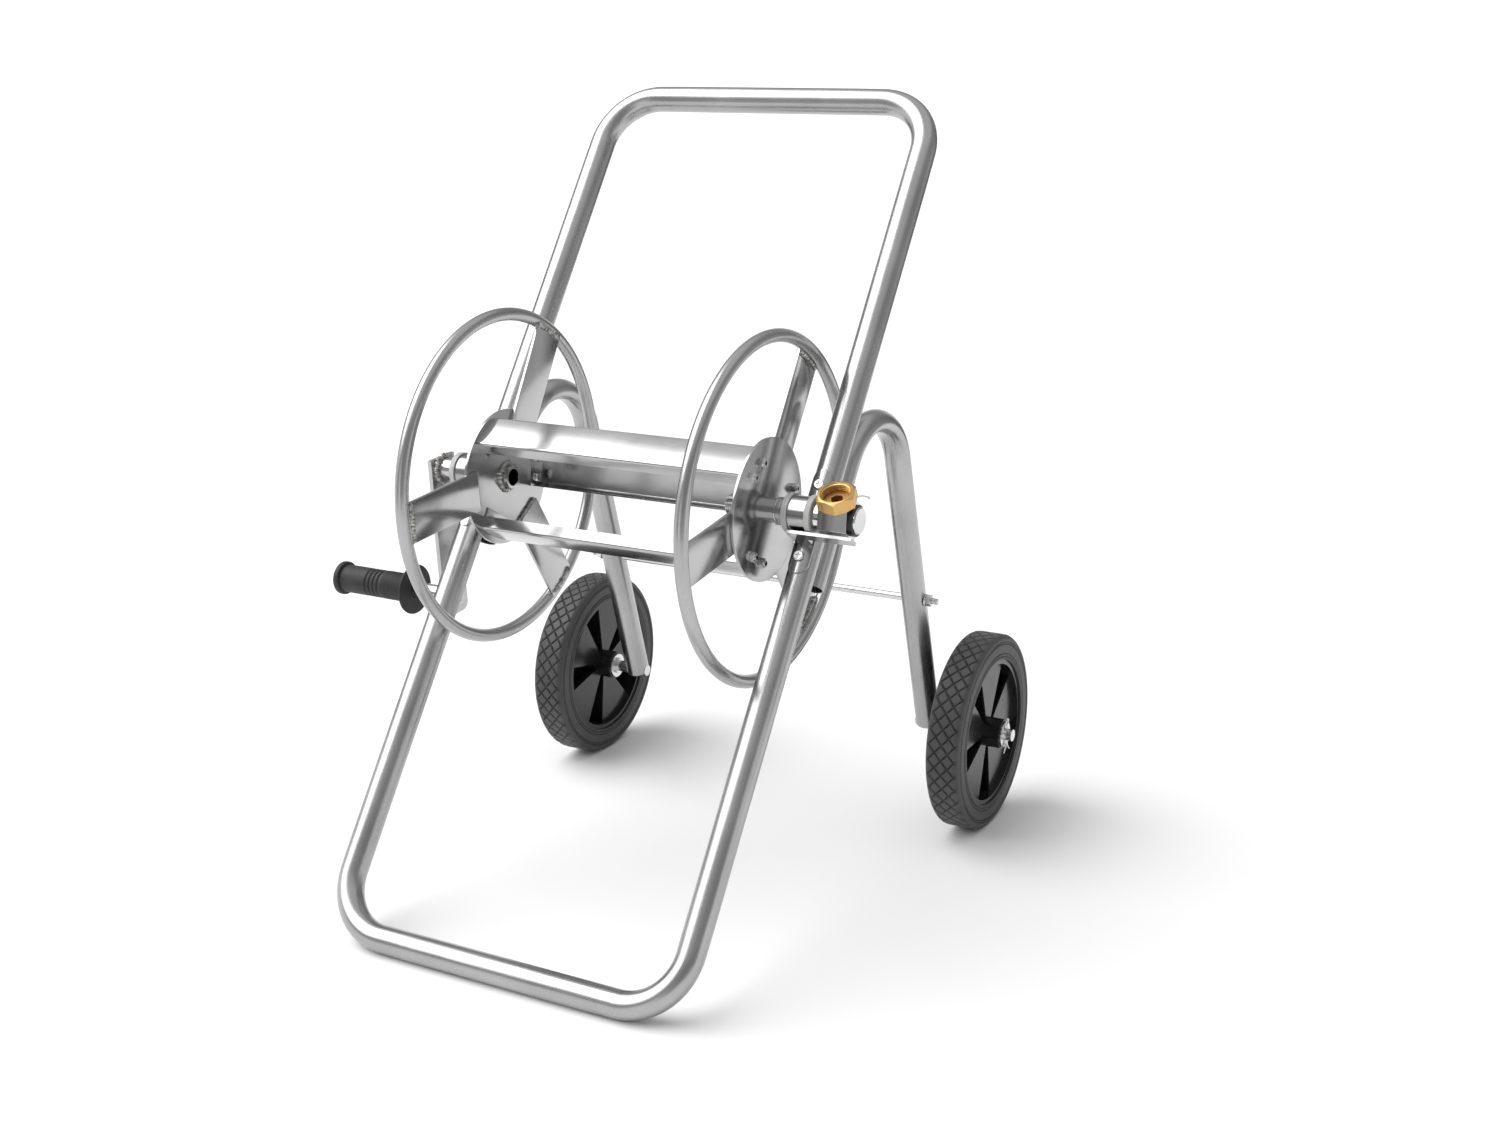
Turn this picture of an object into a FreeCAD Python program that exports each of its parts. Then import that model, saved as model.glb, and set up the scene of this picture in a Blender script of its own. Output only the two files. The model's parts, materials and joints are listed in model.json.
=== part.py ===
import FreeCAD, Part
import math
import os

# Hose reel cart: a leaning tube loop on two wheels that carries a hand-cranked hose drum.
# Cart frame while modelling: X across (the crank is at -X, the water inlet at +X), +Y to the
# rear, +Z up, floor at z = 0, X = 0 on the symmetry plane, Y = 0 at the bottom bar.
# Every node is moved by one common shift on export, so that the origin ends up on the floor at
# the centre of the whole cart's box.  All sizes are in millimetres and degrees.

Vec = FreeCAD.Vector
X_AXIS = Vec(1, 0, 0)
Y_AXIS = Vec(0, 1, 0)
Z_AXIS = Vec(0, 0, 1)

# ---- Tube loop ------------------------------------------------------------------------------
TUBE_D = 25.0
TUBE_WALL = 1.5
LOOP_HALF_WIDTH = 175.7      # symmetry plane to the side tube's centreline
LOOP_LENGTH = 866.7          # bottom bar to top bar, centre to centre, along the lean
LOOP_LEAN = 35.35            # lean back from upright
LOOP_BEND_R = 52.9

# ---- Wheels and axle stubs ------------------------------------------------------------------
WHEEL_D = 200.0
WHEEL_BACK = 518.3           # axle line behind the bottom bar
WHEEL_OUT = 55.4             # side tube's centreline to the wheel's centre plane
TYRE_WIDTH = 35.0
TYRE_DEPTH = 25.0            # tread to the seat on the rim
TYRE_EDGE_R = 6.0            # rounding of the tyre's tread edges
RIM_BAND = 5.0               # thickness of the rim's outer band
RIM_WIDTH = 31.0
RIM_SECTORS = 10             # the web steps in and out by turns, sector by sector
RIM_STEP = 10.0              # centre plane to the outer face of a stepped sector
RIM_WEB = 3.0
RIM_TURN = {-1: 1.0, 1: 14.0}   # middle of a wheel's first sector on its +X face, up from +Y
HUB_D = 30.0
HUB_LENGTH = 54.0
STUB_D = 12.0
STUB_END = 8.0               # stub beyond the outer washer
STOP_RING_D = 17.0
STOP_RING_T = 3.0
WASHER_D = 26.0
WASHER_T = 1.6
PIN_D = 3.2
PIN_REACH = 11.0             # split pin's half length across the stub

# ---- Legs and tie rod -----------------------------------------------------------------------
LEG_BEND_R = 64.6
LEG_TILT = 17.3              # rear branch, forward lean from upright
LEG_START = 386.0            # lower end of the front branch, measured up the loop from its bottom
LEG_FOOT = 1.0               # leg beyond the axle line, where it saddles the stub
LEG_WELD = 0.6               # depth to which the leg's flank is fused into the side tube
TIE_UP = 150.0               # tie rod above the axle, along the leg
TIE_D = 8.0
TIE_THREAD_D = 6.0           # turned-down ends that carry the nuts
TIE_WASHER_D = 12.0
TIE_WASHER_T = 1.6
TIE_NUT_AF = 10.0
TIE_NUT_T = 5.0
TIE_STUB = 7.0               # thread left beyond each nut

# ---- Reel and its bearings ------------------------------------------------------------------
REEL_UP = 435.0              # reel axis, measured up the loop from its bottom bar
SHAFT_D = 21.3
SHAFT_WALL = 2.6
BUSH_WALL = 3.85
BUSH_FLANGE_RIM = 3.0        # flange beyond the barrel
BUSH_FLANGE_T = 5.0
BUSH_LENGTH = 17.0           # barrel between the flanges
BUSH_FOOT = 0.8              # gap between barrel and tube, filled by the bush's foot
STRAP_T = 1.5
EAR_LENGTH = 34.5            # barrel to the end of an ear, along the tube
STRAP_GAP = 0.2              # strap's edges to the bush's flanges
EAR_WIDTH = 19.0
SCREW_OUT = 19.0             # barrel to a strap screw, along the tube
SCREW_D = 4.8
SCREW_HEAD_D = 9.5
SCREW_HEAD_T = 2.6
SCREW_LENGTH = 7.0
CROSS_W = 1.2
CROSS_D = 1.2
DRUM_SHIFT = 2.0             # the drum sits this much nearer to the inlet than to the crank
DISC_D = 127.0
DISC_T = 3.0
DISC_GAP = 35.8              # centred drum: side tube's centreline to a disc's outer face
RING_D = 301.5               # ring centreline
RING_TUBE_D = 12.2
RING_WALL = 1.2
RING_OUT = 0.4               # disc's outer face to the ring's centre plane
SPOKE_W = 38.0
SPOKE_T = 3.0
SPOKE_LAP = 15.5             # spoke's welded inner end inside the disc's edge
# Spokes up from straight ahead: they are welded on by eye, so the two ends differ a little.
SPOKE_TURNS = {-1: (-4.8, 119.8, 236.4), 1: (-8.0, 124.3, 233.7)}
SLAT_INSET = 6.5             # disc's edge to a slat's outer face
SLAT_W = 37.5
SLAT_T = 1.5
SLAT_FLANGE = 12.0
SLAT_TAB = 21.0              # depth of the end tabs
SLAT_TAB_W = 33.0
SLAT_TURN = 60.0             # first slat, up from straight ahead
SLATS = 3
SLAT_BOLT_DEPTH = 11.0       # slat's outer face to the bolt line
SLAT_BOLT_PITCH = 19.0
SLAT_BOLT_D = 5.0
SLAT_HEAD_D = 9.0
SLAT_HEAD_T = 3.0
SLAT_NUT_AF = 8.0
SLAT_NUT_T = 4.0
SLAT_BOLT_END = 1.5
COLLAR_WALL = 1.6
COLLAR_LENGTH = 10.0
SHAFT_TAIL = 7.4             # crank side shaft's open end beyond the disc's inner face
OUTLET_REACH = 34.9          # disc's inner face to the inner end of the outlet's thread
THREAD_TURNED = 0.17         # the pipe is turned down this much for its G1/2 thread
OUTLET_THREAD = 16.0

# ---- Crank and handle -----------------------------------------------------------------------
CRANK_OUT = 33.0             # side tube's centreline to the arm's inner face
CRANK_T = 4.0
CRANK_W = 36.0
CRANK_LENGTH = 130.0         # shaft centre to handle bolt
CRANK_TURN = 4.3             # lean to the rear of the hanging arm
CRANK_TOP = 11.5             # arm beyond the shaft centre
CRANK_END = 18.0             # arm beyond the handle bolt
CRANK_CORNER_R = 8.0
HANDLE_BOLT_D = 8.0
HEAD_PLAY = 0.5              # bolt head inside the grip, radial
HANDLE_HEAD_T = 4.0
HANDLE_NUT_AF = 13.0
HANDLE_NUT_T = 6.5
HANDLE_NUT_END = 3.0
SLEEVE_D = 16.0
SLEEVE_PLAY = 0.05           # radial
END_PLAY = 0.4               # along an axle, each side
GRIP_GAP = 44.3              # arm to the grip's inner flange
GRIP_LENGTH = 93.0
GRIP_END_WALL = 5.0
GRIP_BODY_D = 28.0
GRIP_TIP_D = 33.5
GRIP_TIP_T = 5.0
GRIP_FLANGE_D = 49.5
GRIP_FLANGE_T = 4.0
GRIP_GROOVES = 4
GRIP_GROOVE_PITCH = 5.0
GRIP_GROOVE_W = 1.6
GRIP_GROOVE_DEPTH = 1.0

# ---- Swivel and inlet -----------------------------------------------------------------------
SWIVEL_OUT = 21.3            # side tube's centreline to the inner end of the hexagon
SWIVEL_LENGTH = 27.0
SWIVEL_WALL = 5.35           # shaft to a flat
SWIVEL_NECK = 6.0
NECK_WALL = 2.85
SWIVEL_WALL_END = 4.0
SHAFT_IN_SWIVEL = 17.0
CAP_INSET = 4.0              # flat of the swivel to the cap's edge
CAP_T = 6.0
SEAL_WIDTH = 1.75            # ring beyond the cap's edge
SEAL_T = 3.5
STOP_BAR_W = 12.0
STOP_BAR_T = 3.0
STOP_BAR_PAST = 5.0          # bar beyond the swivel
INLET_IN = 15.0              # inner end of the hexagon to the inlet's axis
TAIL_SHANK_D = 17.0
TAIL_PLAY = 0.36             # tail's flange inside the nut's thread, radial
TAIL_FLANGE_T = 2.5
TAIL_SOCKET = 4.0            # how far the tail sits in the swivel
TAIL_BORE_AF = 10.0
NUT_WALL = 3.94              # thread to a flat
NUT_HEIGHT = 12.0
NUT_BACK = 2.2
NUT_THREAD_D = 24.12         # G3/4 female thread, minor diameter
NUT_CHAMFER = 1.6
RELIEF_DEPTH = 0.9           # groove behind the thread, radial
RELIEF_PAST = 0.6            # groove beyond the face of the tail's flange
NUT_TURN = 14.0              # resting turn of the loose nut about its own axis

# ---- Running clearances ---------------------------------------------------------------------
RUNNING = 0.05               # radial clearance of a shaft in its bearing
FACE_GAP = 0.4               # between faces that pass each other

# ---- Places worked out from the sizes above -------------------------------------------------
TUBE_R = TUBE_D / 2
BUSH_BARREL_D = SHAFT_D + 2 * BUSH_WALL
BUSH_FLANGE_D = BUSH_BARREL_D + 2 * BUSH_FLANGE_RIM
STRAP_REACH = BUSH_BARREL_D / 2 + EAR_LENGTH
SCREW_UP = BUSH_BARREL_D / 2 + SCREW_OUT
LEAN = math.radians(LOOP_LEAN)
UP_LOOP = Vec(0, math.sin(LEAN), math.cos(LEAN))
OFF_LOOP = Vec(0, -math.cos(LEAN), math.sin(LEAN))
LOOP_FOOT = Vec(0, 0, TUBE_R)
REEL_OUT = TUBE_R + BUSH_FOOT + BUSH_BARREL_D / 2
REEL = LOOP_FOOT + UP_LOOP * REEL_UP + OFF_LOOP * REEL_OUT
AXLE = Vec(0, WHEEL_BACK, WHEEL_D / 2)
DISC_OUTER_X = LOOP_HALF_WIDTH - DISC_GAP
DISC_INNER_X = DISC_OUTER_X - DISC_T
RING_X = DISC_OUTER_X + RING_OUT
SPOKE_START = DISC_D / 2 - SPOKE_LAP
SLAT_R = DISC_D / 2 - SLAT_INSET
SLAT_BOLT_R = SLAT_R - SLAT_BOLT_DEPTH
SHAFT_OPEN_X = DISC_INNER_X - DRUM_SHIFT - SHAFT_TAIL
OUTLET_X = DISC_INNER_X + DRUM_SHIFT - OUTLET_REACH
OUTLET_D = SHAFT_D - 2 * THREAD_TURNED
COLLAR_D = SHAFT_D + 2 * COLLAR_WALL
WHEEL_X = LOOP_HALF_WIDTH + WHEEL_OUT
TYRE_SEAT_D = WHEEL_D - 2 * TYRE_DEPTH
HUB_INNER_X = WHEEL_X - HUB_LENGTH / 2
HUB_OUTER_X = WHEEL_X + HUB_LENGTH / 2
WASHER_OUTER_X = HUB_OUTER_X + FACE_GAP + WASHER_T
STUB_OUTER_X = WASHER_OUTER_X + STUB_END
TILT = math.radians(LEG_TILT)
LEG_UP = Vec(0, -math.sin(TILT), math.cos(TILT))
LEG_X = LOOP_HALF_WIDTH
LEG_BEHIND = TUBE_D - LEG_WELD
SWIVEL_X = LOOP_HALF_WIDTH + SWIVEL_OUT
SWIVEL_AF = SHAFT_D + 2 * SWIVEL_WALL
SWIVEL_NECK_D = SHAFT_D + 2 * NECK_WALL
CAP_D = SWIVEL_AF - 2 * CAP_INSET
SEAL_D = CAP_D + 2 * SEAL_WIDTH
SWIVEL_OUTER_X = SWIVEL_X + SWIVEL_LENGTH
STOP_BAR_END = SWIVEL_OUTER_X + STOP_BAR_PAST
INLET_X = SWIVEL_X + INLET_IN
NUT_AF = NUT_THREAD_D + 2 * NUT_WALL
TAIL_FLANGE_D = NUT_THREAD_D - 2 * TAIL_PLAY
HEX_TURN = 120.0 - (90.0 - LOOP_LEAN)   # a flat of the swivel faces straight down the loop
INLET_DIR = Vec(0, -math.cos(math.radians(HEX_TURN)), math.sin(math.radians(HEX_TURN)))
CRANK_SWING = math.radians(CRANK_TURN)
CRANK_DOWN = Vec(0, math.sin(CRANK_SWING), -math.cos(CRANK_SWING))
HANDLE = REEL + CRANK_DOWN * CRANK_LENGTH
CRANK_X = LOOP_HALF_WIDTH + CRANK_OUT
ARM_OUTER_X = CRANK_X + CRANK_T
HANDLE_HEAD_D = SLEEVE_D - 2 * HEAD_PLAY
GRIP_INNER_X = ARM_OUTER_X + GRIP_GAP
GRIP_OUTER_X = GRIP_INNER_X + GRIP_LENGTH
SHIFT = Vec((GRIP_OUTER_X - STUB_OUTER_X) / 2, -(WHEEL_BACK + WHEEL_D / 2 - TUBE_R) / 2, 0)


def across(x, at=Vec(0, 0, 0)):
    """A point at X = x on the crosswise line through a point."""
    return Vec(x, at.y, at.z)


def on_drum(x):
    """A point on the reel's axis, x from the middle of the drum."""
    return Vec(DRUM_SHIFT + x, REEL.y, REEL.z)


def rod(start, direction, length, diameter):
    """A round bar from a point along a direction."""
    return Part.makeCylinder(diameter / 2, length, start, direction)


def pipe(start, direction, length, outer, inner):
    """A round bar with a concentric bore."""
    return rod(start, direction, length, outer).cut(rod(start, direction, length, inner))


def hexagon(start, direction, length, flats, corner_dir):
    """A hexagonal bar; one corner points along corner_dir."""
    radius = flats / 2 / math.cos(math.pi / 6)
    u = Vec(corner_dir).normalize()
    v = direction.cross(u).normalize()
    turns = [math.radians(60 * k) for k in range(7)]
    corners = [start + u * (radius * math.cos(t)) + v * (radius * math.sin(t)) for t in turns]
    face = Part.Face(Part.makePolygon(corners))
    return face.extrude(Vec(direction).normalize() * length)


def slab(origin, a, b, c):
    """A box with one corner at origin and the three given edge vectors."""
    corners = [origin, origin + a, origin + a + b, origin + b, origin]
    return Part.Face(Part.makePolygon(corners)).extrude(c)


def sweep(path, start, direction, diameter):
    """A round section carried along a path of lines and arcs."""
    section = Part.Wire(Part.makeCircle(diameter / 2, start, direction))
    return path.makePipeShell([section], True, False)


def turned(points, at, direction, out):
    """A solid of revolution; each point is (distance along direction, radius)."""
    wall = [at + direction * x + out * r for x, r in points]
    face = Part.Face(Part.makePolygon(wall + [wall[0]]))
    return face.revolve(at, direction, 360)


def save(name, solids):
    """Write one node, moved to the cart's final origin."""
    shape = solids[0] if len(solids) == 1 else Part.Compound(solids)
    shape = shape.copy()
    shape.translate(SHIFT)
    shape.exportStep("parts/" + name + ".step")


def bend(before, corner, after, radius):
    """Tangent points and middle point of an arc that rounds a corner."""
    a = (before - corner).normalize()
    b = (after - corner).normalize()
    half = a.getAngle(b) / 2
    reach = radius / math.tan(half)
    bisector = (a + b).normalize()
    centre = corner + bisector * (radius / math.sin(half))
    return corner + a * reach, centre - bisector * radius, corner + b * reach


# ---- Frame ----------------------------------------------------------------------------------
def loop_path():
    """Closed rounded rectangle in the leaning plane, from the middle of the bottom bar."""
    low = LOOP_FOOT
    high = LOOP_FOOT + UP_LOOP * LOOP_LENGTH
    side = X_AXIS * LOOP_HALF_WIDTH
    corners = [low + side, high + side, high - side, low - side]
    edges = []
    here = low
    for k, corner in enumerate(corners):
        before = corners[k - 1] if k else low - side
        after = corners[(k + 1) % 4]
        first, middle, last = bend(before, corner, after, LOOP_BEND_R)
        edges.append(Part.LineSegment(here, first).toShape())
        edges.append(Part.Arc(first, middle, last).toShape())
        here = last
    edges.append(Part.LineSegment(here, low).toShape())
    return Part.Wire(edges)


def main_loop():
    """The bent tube that is foot, sides and handle in one."""
    path = loop_path()
    outer = sweep(path, LOOP_FOOT, X_AXIS, TUBE_D)
    inner = sweep(path, LOOP_FOOT, X_AXIS, TUBE_D - 2 * TUBE_WALL)
    return outer.cut(inner)


def leg_points(x):
    """Front end, corner and foot of a leg's centreline."""
    front = across(x, LOOP_FOOT + UP_LOOP * LEG_START - OFF_LOOP * LEG_BEHIND)
    foot = across(x, AXLE) - LEG_UP * LEG_FOOT
    gap = foot - front
    spread = UP_LOOP.y * LEG_UP.z - UP_LOOP.z * LEG_UP.y
    rise = (gap.y * LEG_UP.z - gap.z * LEG_UP.y) / spread
    return front, front + UP_LOOP * rise, foot


def leg(side):
    """A hooked tube: short branch along the loop's back, long branch down to the axle."""
    front, corner, foot = leg_points(side * LEG_X)
    first, middle, last = bend(front, corner, foot, LEG_BEND_R)
    path = Part.Wire([
        Part.LineSegment(front, first).toShape(),
        Part.Arc(first, middle, last).toShape(),
        Part.LineSegment(last, foot).toShape(),
    ])
    outer = sweep(path, front, UP_LOOP, TUBE_D)
    inner = sweep(path, front, UP_LOOP, TUBE_D - 2 * TUBE_WALL)
    stub_hole = rod(across(-side * TUBE_D + side * LEG_X, AXLE), X_AXIS * side, 2 * TUBE_D, STUB_D)
    tie_hole = rod(across(side * (LEG_X - TUBE_D), tie_centre()), X_AXIS * side, 2 * TUBE_D, TIE_D)
    return outer.cut(inner).cut(stub_hole).cut(tie_hole)


def tie_centre():
    return AXLE + LEG_UP * TIE_UP


def axle_stub(side):
    """Bar through the leg's foot that carries one wheel, with a stop ring behind the hub."""
    out = X_AXIS * side
    start = LEG_X - TUBE_R
    bar = rod(across(side * start, AXLE), out, STUB_OUTER_X - start, STUB_D)
    ring_at = HUB_INNER_X - FACE_GAP - WASHER_T - STOP_RING_T
    ring = rod(across(side * ring_at, AXLE), out, STOP_RING_T, STOP_RING_D)
    pin_hole = rod(pin_centre(side) - Z_AXIS * STUB_D, Z_AXIS, 2 * STUB_D, PIN_D)
    return bar.fuse(ring).removeSplitter().cut(pin_hole)


def pin_centre(side):
    return across(side * (WASHER_OUTER_X + PIN_D / 2), AXLE)


def wheel_washers():
    """One washer on each side of each hub."""
    solids = []
    for side in (-1, 1):
        for x in (HUB_INNER_X - FACE_GAP - WASHER_T, HUB_OUTER_X + FACE_GAP):
            solids.append(pipe(across(side * x, AXLE), X_AXIS * side, WASHER_T, WASHER_D, STUB_D))
    return solids


def split_pin(side):
    """Round pin through the stub with an eye above it."""
    centre = pin_centre(side)
    shank = rod(centre - Z_AXIS * PIN_REACH, Z_AXIS, 2 * PIN_REACH, PIN_D)
    eye = Part.makeTorus(PIN_D, PIN_D / 2, centre + Z_AXIS * (PIN_REACH + PIN_D), X_AXIS)
    return shank.fuse(eye)


def tie_rod():
    """Bar through both legs, flush with their outer flanks, with a slimmer thread past each."""
    shoulder = LEG_X + TUBE_R
    half = tie_nut_x() + TIE_NUT_T + TIE_STUB
    bar = rod(across(-shoulder, tie_centre()), X_AXIS, 2 * shoulder, TIE_D)
    return bar.fuse(rod(across(-half, tie_centre()), X_AXIS, 2 * half, TIE_THREAD_D))


def tie_nut_x():
    return LEG_X + TUBE_R + TIE_WASHER_T


def tie_washers():
    """Washers that bear on the legs' outer flanks."""
    solids = []
    for side in (-1, 1):
        start = across(side * (LEG_X + TUBE_R), tie_centre())
        solids.append(pipe(start, X_AXIS * side, TIE_WASHER_T, TIE_WASHER_D, TIE_THREAD_D))
    return solids


def tie_nuts():
    solids = []
    for side in (-1, 1):
        start = across(side * tie_nut_x(), tie_centre())
        nut = hexagon(start, X_AXIS * side, TIE_NUT_T, TIE_NUT_AF, Z_AXIS)
        solids.append(nut.cut(rod(start, X_AXIS * side, TIE_NUT_T, TIE_THREAD_D)))
    return solids


# ---- Bearings -------------------------------------------------------------------------------
def side_tube(side):
    """Stand-in for the straight side tube, used to shape what sits on it."""
    return rod(LOOP_FOOT + X_AXIS * (side * LOOP_HALF_WIDTH), UP_LOOP, LOOP_LENGTH, TUBE_D)


def bearing_bush(side):
    """Flanged plastic bush with a foot that saddles the side tube."""
    middle = side * LOOP_HALF_WIDTH
    half = BUSH_LENGTH / 2
    outer = half + BUSH_FLANGE_T
    barrel = rod(across(middle - half, REEL), X_AXIS, BUSH_LENGTH, BUSH_BARREL_D)
    bush = barrel
    for start in (-outer, half):
        flange = rod(across(middle + start, REEL), X_AXIS, BUSH_FLANGE_T, BUSH_FLANGE_D)
        bush = bush.fuse(flange)
    width = BUSH_BARREL_D
    corner = across(middle - half, REEL) - UP_LOOP * (width / 2) - OFF_LOOP * (REEL_OUT - TUBE_R / 2)
    depth = OFF_LOOP * (REEL_OUT - TUBE_R / 2)
    foot = slab(corner, X_AXIS * BUSH_LENGTH, UP_LOOP * width, depth)
    bush = bush.fuse(foot).removeSplitter().cut(side_tube(side))
    bore = rod(across(middle - outer, REEL), X_AXIS, 2 * outer, SHAFT_D + 2 * RUNNING)
    return bush.cut(bore)


def bearing_strap(side):
    """Sheet strap over the bush, with two ears curved round the side tube."""
    middle = side * LOOP_HALF_WIDTH
    half = BUSH_LENGTH / 2 - STRAP_GAP
    width = 2 * half
    inner = BUSH_BARREL_D
    outer = inner + 2 * STRAP_T
    start = across(middle - half, REEL)
    down = REEL_OUT - TUBE_R / 2
    hoop = rod(start, X_AXIS, width, outer)
    block = slab(start - UP_LOOP * (outer / 2) - OFF_LOOP * down,
                 X_AXIS * width, UP_LOOP * outer, OFF_LOOP * down)
    hollow = slab(start - UP_LOOP * (inner / 2) - OFF_LOOP * down,
                  X_AXIS * width, UP_LOOP * inner, OFF_LOOP * down)
    hoop = hoop.fuse(block).cut(rod(start, X_AXIS, width, inner)).cut(hollow)
    strap = hoop.cut(side_tube(side))
    base = across(middle, REEL) - OFF_LOOP * REEL_OUT
    for way in (-1, 1):
        strap = strap.fuse(strap_ear(base, UP_LOOP * way, side))
    strap = strap.removeSplitter()
    for way in (-1, 1):
        hole = rod(base + UP_LOOP * (way * SCREW_UP), OFF_LOOP, REEL_OUT, SCREW_D)
        strap = strap.cut(hole)
    return strap


def strap_ear(base, way, side):
    """One ear: a shell round the tube, cut to a tongue with a rounded end."""
    start = BUSH_BARREL_D / 2
    tip = STRAP_REACH - EAR_WIDTH / 2
    shell = pipe(base, way, STRAP_REACH, TUBE_D + 2 * STRAP_T, TUBE_D)
    tongue = slab(base + way * start - X_AXIS * (EAR_WIDTH / 2),
                  X_AXIS * EAR_WIDTH, way * (tip - start), OFF_LOOP * TUBE_D)
    tongue = tongue.fuse(rod(base + way * tip, OFF_LOOP, TUBE_D, EAR_WIDTH))
    return shell.common(tongue)


def strap_screws():
    """Pan-head cross-recess screws through the ears into the side tubes."""
    solids = []
    seat = REEL_OUT - TUBE_R - STRAP_T
    for side in (-1, 1):
        for way in (-1, 1):
            place = across(side * LOOP_HALF_WIDTH, REEL) + UP_LOOP * (way * SCREW_UP) - OFF_LOOP * seat
            head = rod(place, OFF_LOOP, SCREW_HEAD_T, SCREW_HEAD_D)
            top = place + OFF_LOOP * SCREW_HEAD_T
            head = head.makeFillet(SCREW_HEAD_T * 0.45, [e for e in head.Edges if is_rim(e, top)])
            for a, b in ((X_AXIS, UP_LOOP), (UP_LOOP, X_AXIS)):
                long = SCREW_HEAD_D * 0.55
                corner = top - a * (long / 2) - b * (CROSS_W / 2) - OFF_LOOP * CROSS_D
                head = head.cut(slab(corner, a * long, b * CROSS_W, OFF_LOOP * CROSS_D))
            shank = rod(place - OFF_LOOP * SCREW_LENGTH, OFF_LOOP, SCREW_LENGTH, SCREW_D)
            solids.append(head.fuse(shank))
    return solids


def is_rim(edge, centre):
    """Whether an edge is a full circle round a centre."""
    curve = edge.Curve
    return isinstance(curve, Part.Circle) and curve.Center.distanceToPoint(centre) < 1e-6


def tapped_loop():
    """The loop with the strap screws' holes."""
    loop = main_loop()
    for side in (-1, 1):
        for way in (-1, 1):
            foot = across(side * LOOP_HALF_WIDTH, REEL) + UP_LOOP * (way * SCREW_UP)
            loop = loop.cut(rod(foot - OFF_LOOP * REEL_OUT, OFF_LOOP, REEL_OUT, SCREW_D))
    return loop


# ---- Reel -----------------------------------------------------------------------------------
def outward(turn):
    """Direction away from the reel's axis, turned up from straight ahead."""
    return Vec(0, -math.cos(math.radians(turn)), math.sin(math.radians(turn)))


def slat_dir(k):
    """Outward direction of the k-th of the evenly spaced slats."""
    return outward(SLAT_TURN + k * 360 / SLATS)


def slat_bolt_places(side_x):
    """Every slat bolt's centre in the plane at side_x from the middle of the drum."""
    places = []
    for k in range(SLATS):
        out = slat_dir(k)
        along = X_AXIS.cross(out)
        for way in (-1, 1):
            places.append(on_drum(side_x) + out * SLAT_BOLT_R + along * (way * SLAT_BOLT_PITCH / 2))
    return places


def disc(side):
    """Plain round plate with the shaft hole and the slat bolt holes."""
    out = X_AXIS * side
    plate = pipe(on_drum(side * DISC_INNER_X), out, DISC_T, DISC_D, SHAFT_D)
    for place in slat_bolt_places(side * DISC_INNER_X):
        plate = plate.cut(rod(place, out, DISC_T, SLAT_BOLT_D))
    return plate


def slat(k):
    """Folded channel between the discs: web outside, two flanges and two bolted end tabs."""
    out = slat_dir(k)
    along = X_AXIS.cross(out)
    length = 2 * DISC_INNER_X
    face = on_drum(-DISC_INNER_X) + out * SLAT_R
    edge = face - along * (SLAT_W / 2)
    body = slab(edge, X_AXIS * length, along * SLAT_W, out * -SLAT_T)
    for start in (edge, edge + along * (SLAT_W - SLAT_T)):
        body = body.fuse(slab(start, X_AXIS * length, along * SLAT_T, out * -SLAT_FLANGE))
    for x in (0, length - SLAT_T):
        start = face + X_AXIS * x - along * (SLAT_TAB_W / 2)
        body = body.fuse(slab(start, X_AXIS * SLAT_T, along * SLAT_TAB_W, out * -SLAT_TAB))
    body = body.removeSplitter()
    for place in slat_bolt_places(-DISC_INNER_X):
        body = body.cut(rod(place, X_AXIS, length, SLAT_BOLT_D))
    return body


def slat_bolts():
    """Round-headed bolts, heads inside the drum."""
    solids = []
    for side in (-1, 1):
        out = X_AXIS * side
        seat = side * (DISC_INNER_X - SLAT_T)
        shank_length = SLAT_T + DISC_T + SLAT_NUT_T + SLAT_BOLT_END
        for place in slat_bolt_places(seat):
            head = rod(place - out * SLAT_HEAD_T, out, SLAT_HEAD_T, SLAT_HEAD_D)
            inner = place - out * SLAT_HEAD_T
            head = head.makeFillet(SLAT_HEAD_T * 0.5, [e for e in head.Edges if is_rim(e, inner)])
            solids.append(head.fuse(rod(place, out, shank_length, SLAT_BOLT_D)))
    return solids


def slat_nuts():
    """Hexagon nuts on the discs' outer faces."""
    solids = []
    for side in (-1, 1):
        out = X_AXIS * side
        for place in slat_bolt_places(side * DISC_OUTER_X):
            nut = hexagon(place, out, SLAT_NUT_T, SLAT_NUT_AF, Z_AXIS)
            solids.append(nut.cut(rod(place, out, SLAT_NUT_T, SLAT_BOLT_D)))
    return solids


def ring_tube(side, diameter):
    return Part.makeTorus(RING_D / 2, diameter / 2, on_drum(side * RING_X), X_AXIS)


def ring(side):
    """Hoop of thin tube that keeps the hose on the drum."""
    return ring_tube(side, RING_TUBE_D).cut(ring_tube(side, RING_TUBE_D - 2 * RING_WALL))


def spoke(side, turn):
    """Flat bar on the disc's inner face that carries the ring."""
    out = outward(turn)
    along = X_AXIS.cross(out)
    start = on_drum(side * DISC_INNER_X) + out * SPOKE_START - along * (SPOKE_W / 2)
    reach = RING_D / 2 - SPOKE_START
    bar = slab(start, X_AXIS * (-side * SPOKE_T), along * SPOKE_W, out * reach)
    hoop = ring_tube(side, RING_TUBE_D)
    pieces = bar.cut(hoop).Solids
    return min(pieces, key=lambda piece: piece.CenterOfMass.distanceToPoint(on_drum(0)))


def crank_shaft():
    """Pipe from inside the drum to the crank arm."""
    start = across(-SHAFT_OPEN_X, REEL)
    return pipe(start, -X_AXIS, CRANK_X - SHAFT_OPEN_X, SHAFT_D, SHAFT_D - 2 * SHAFT_WALL)


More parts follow.
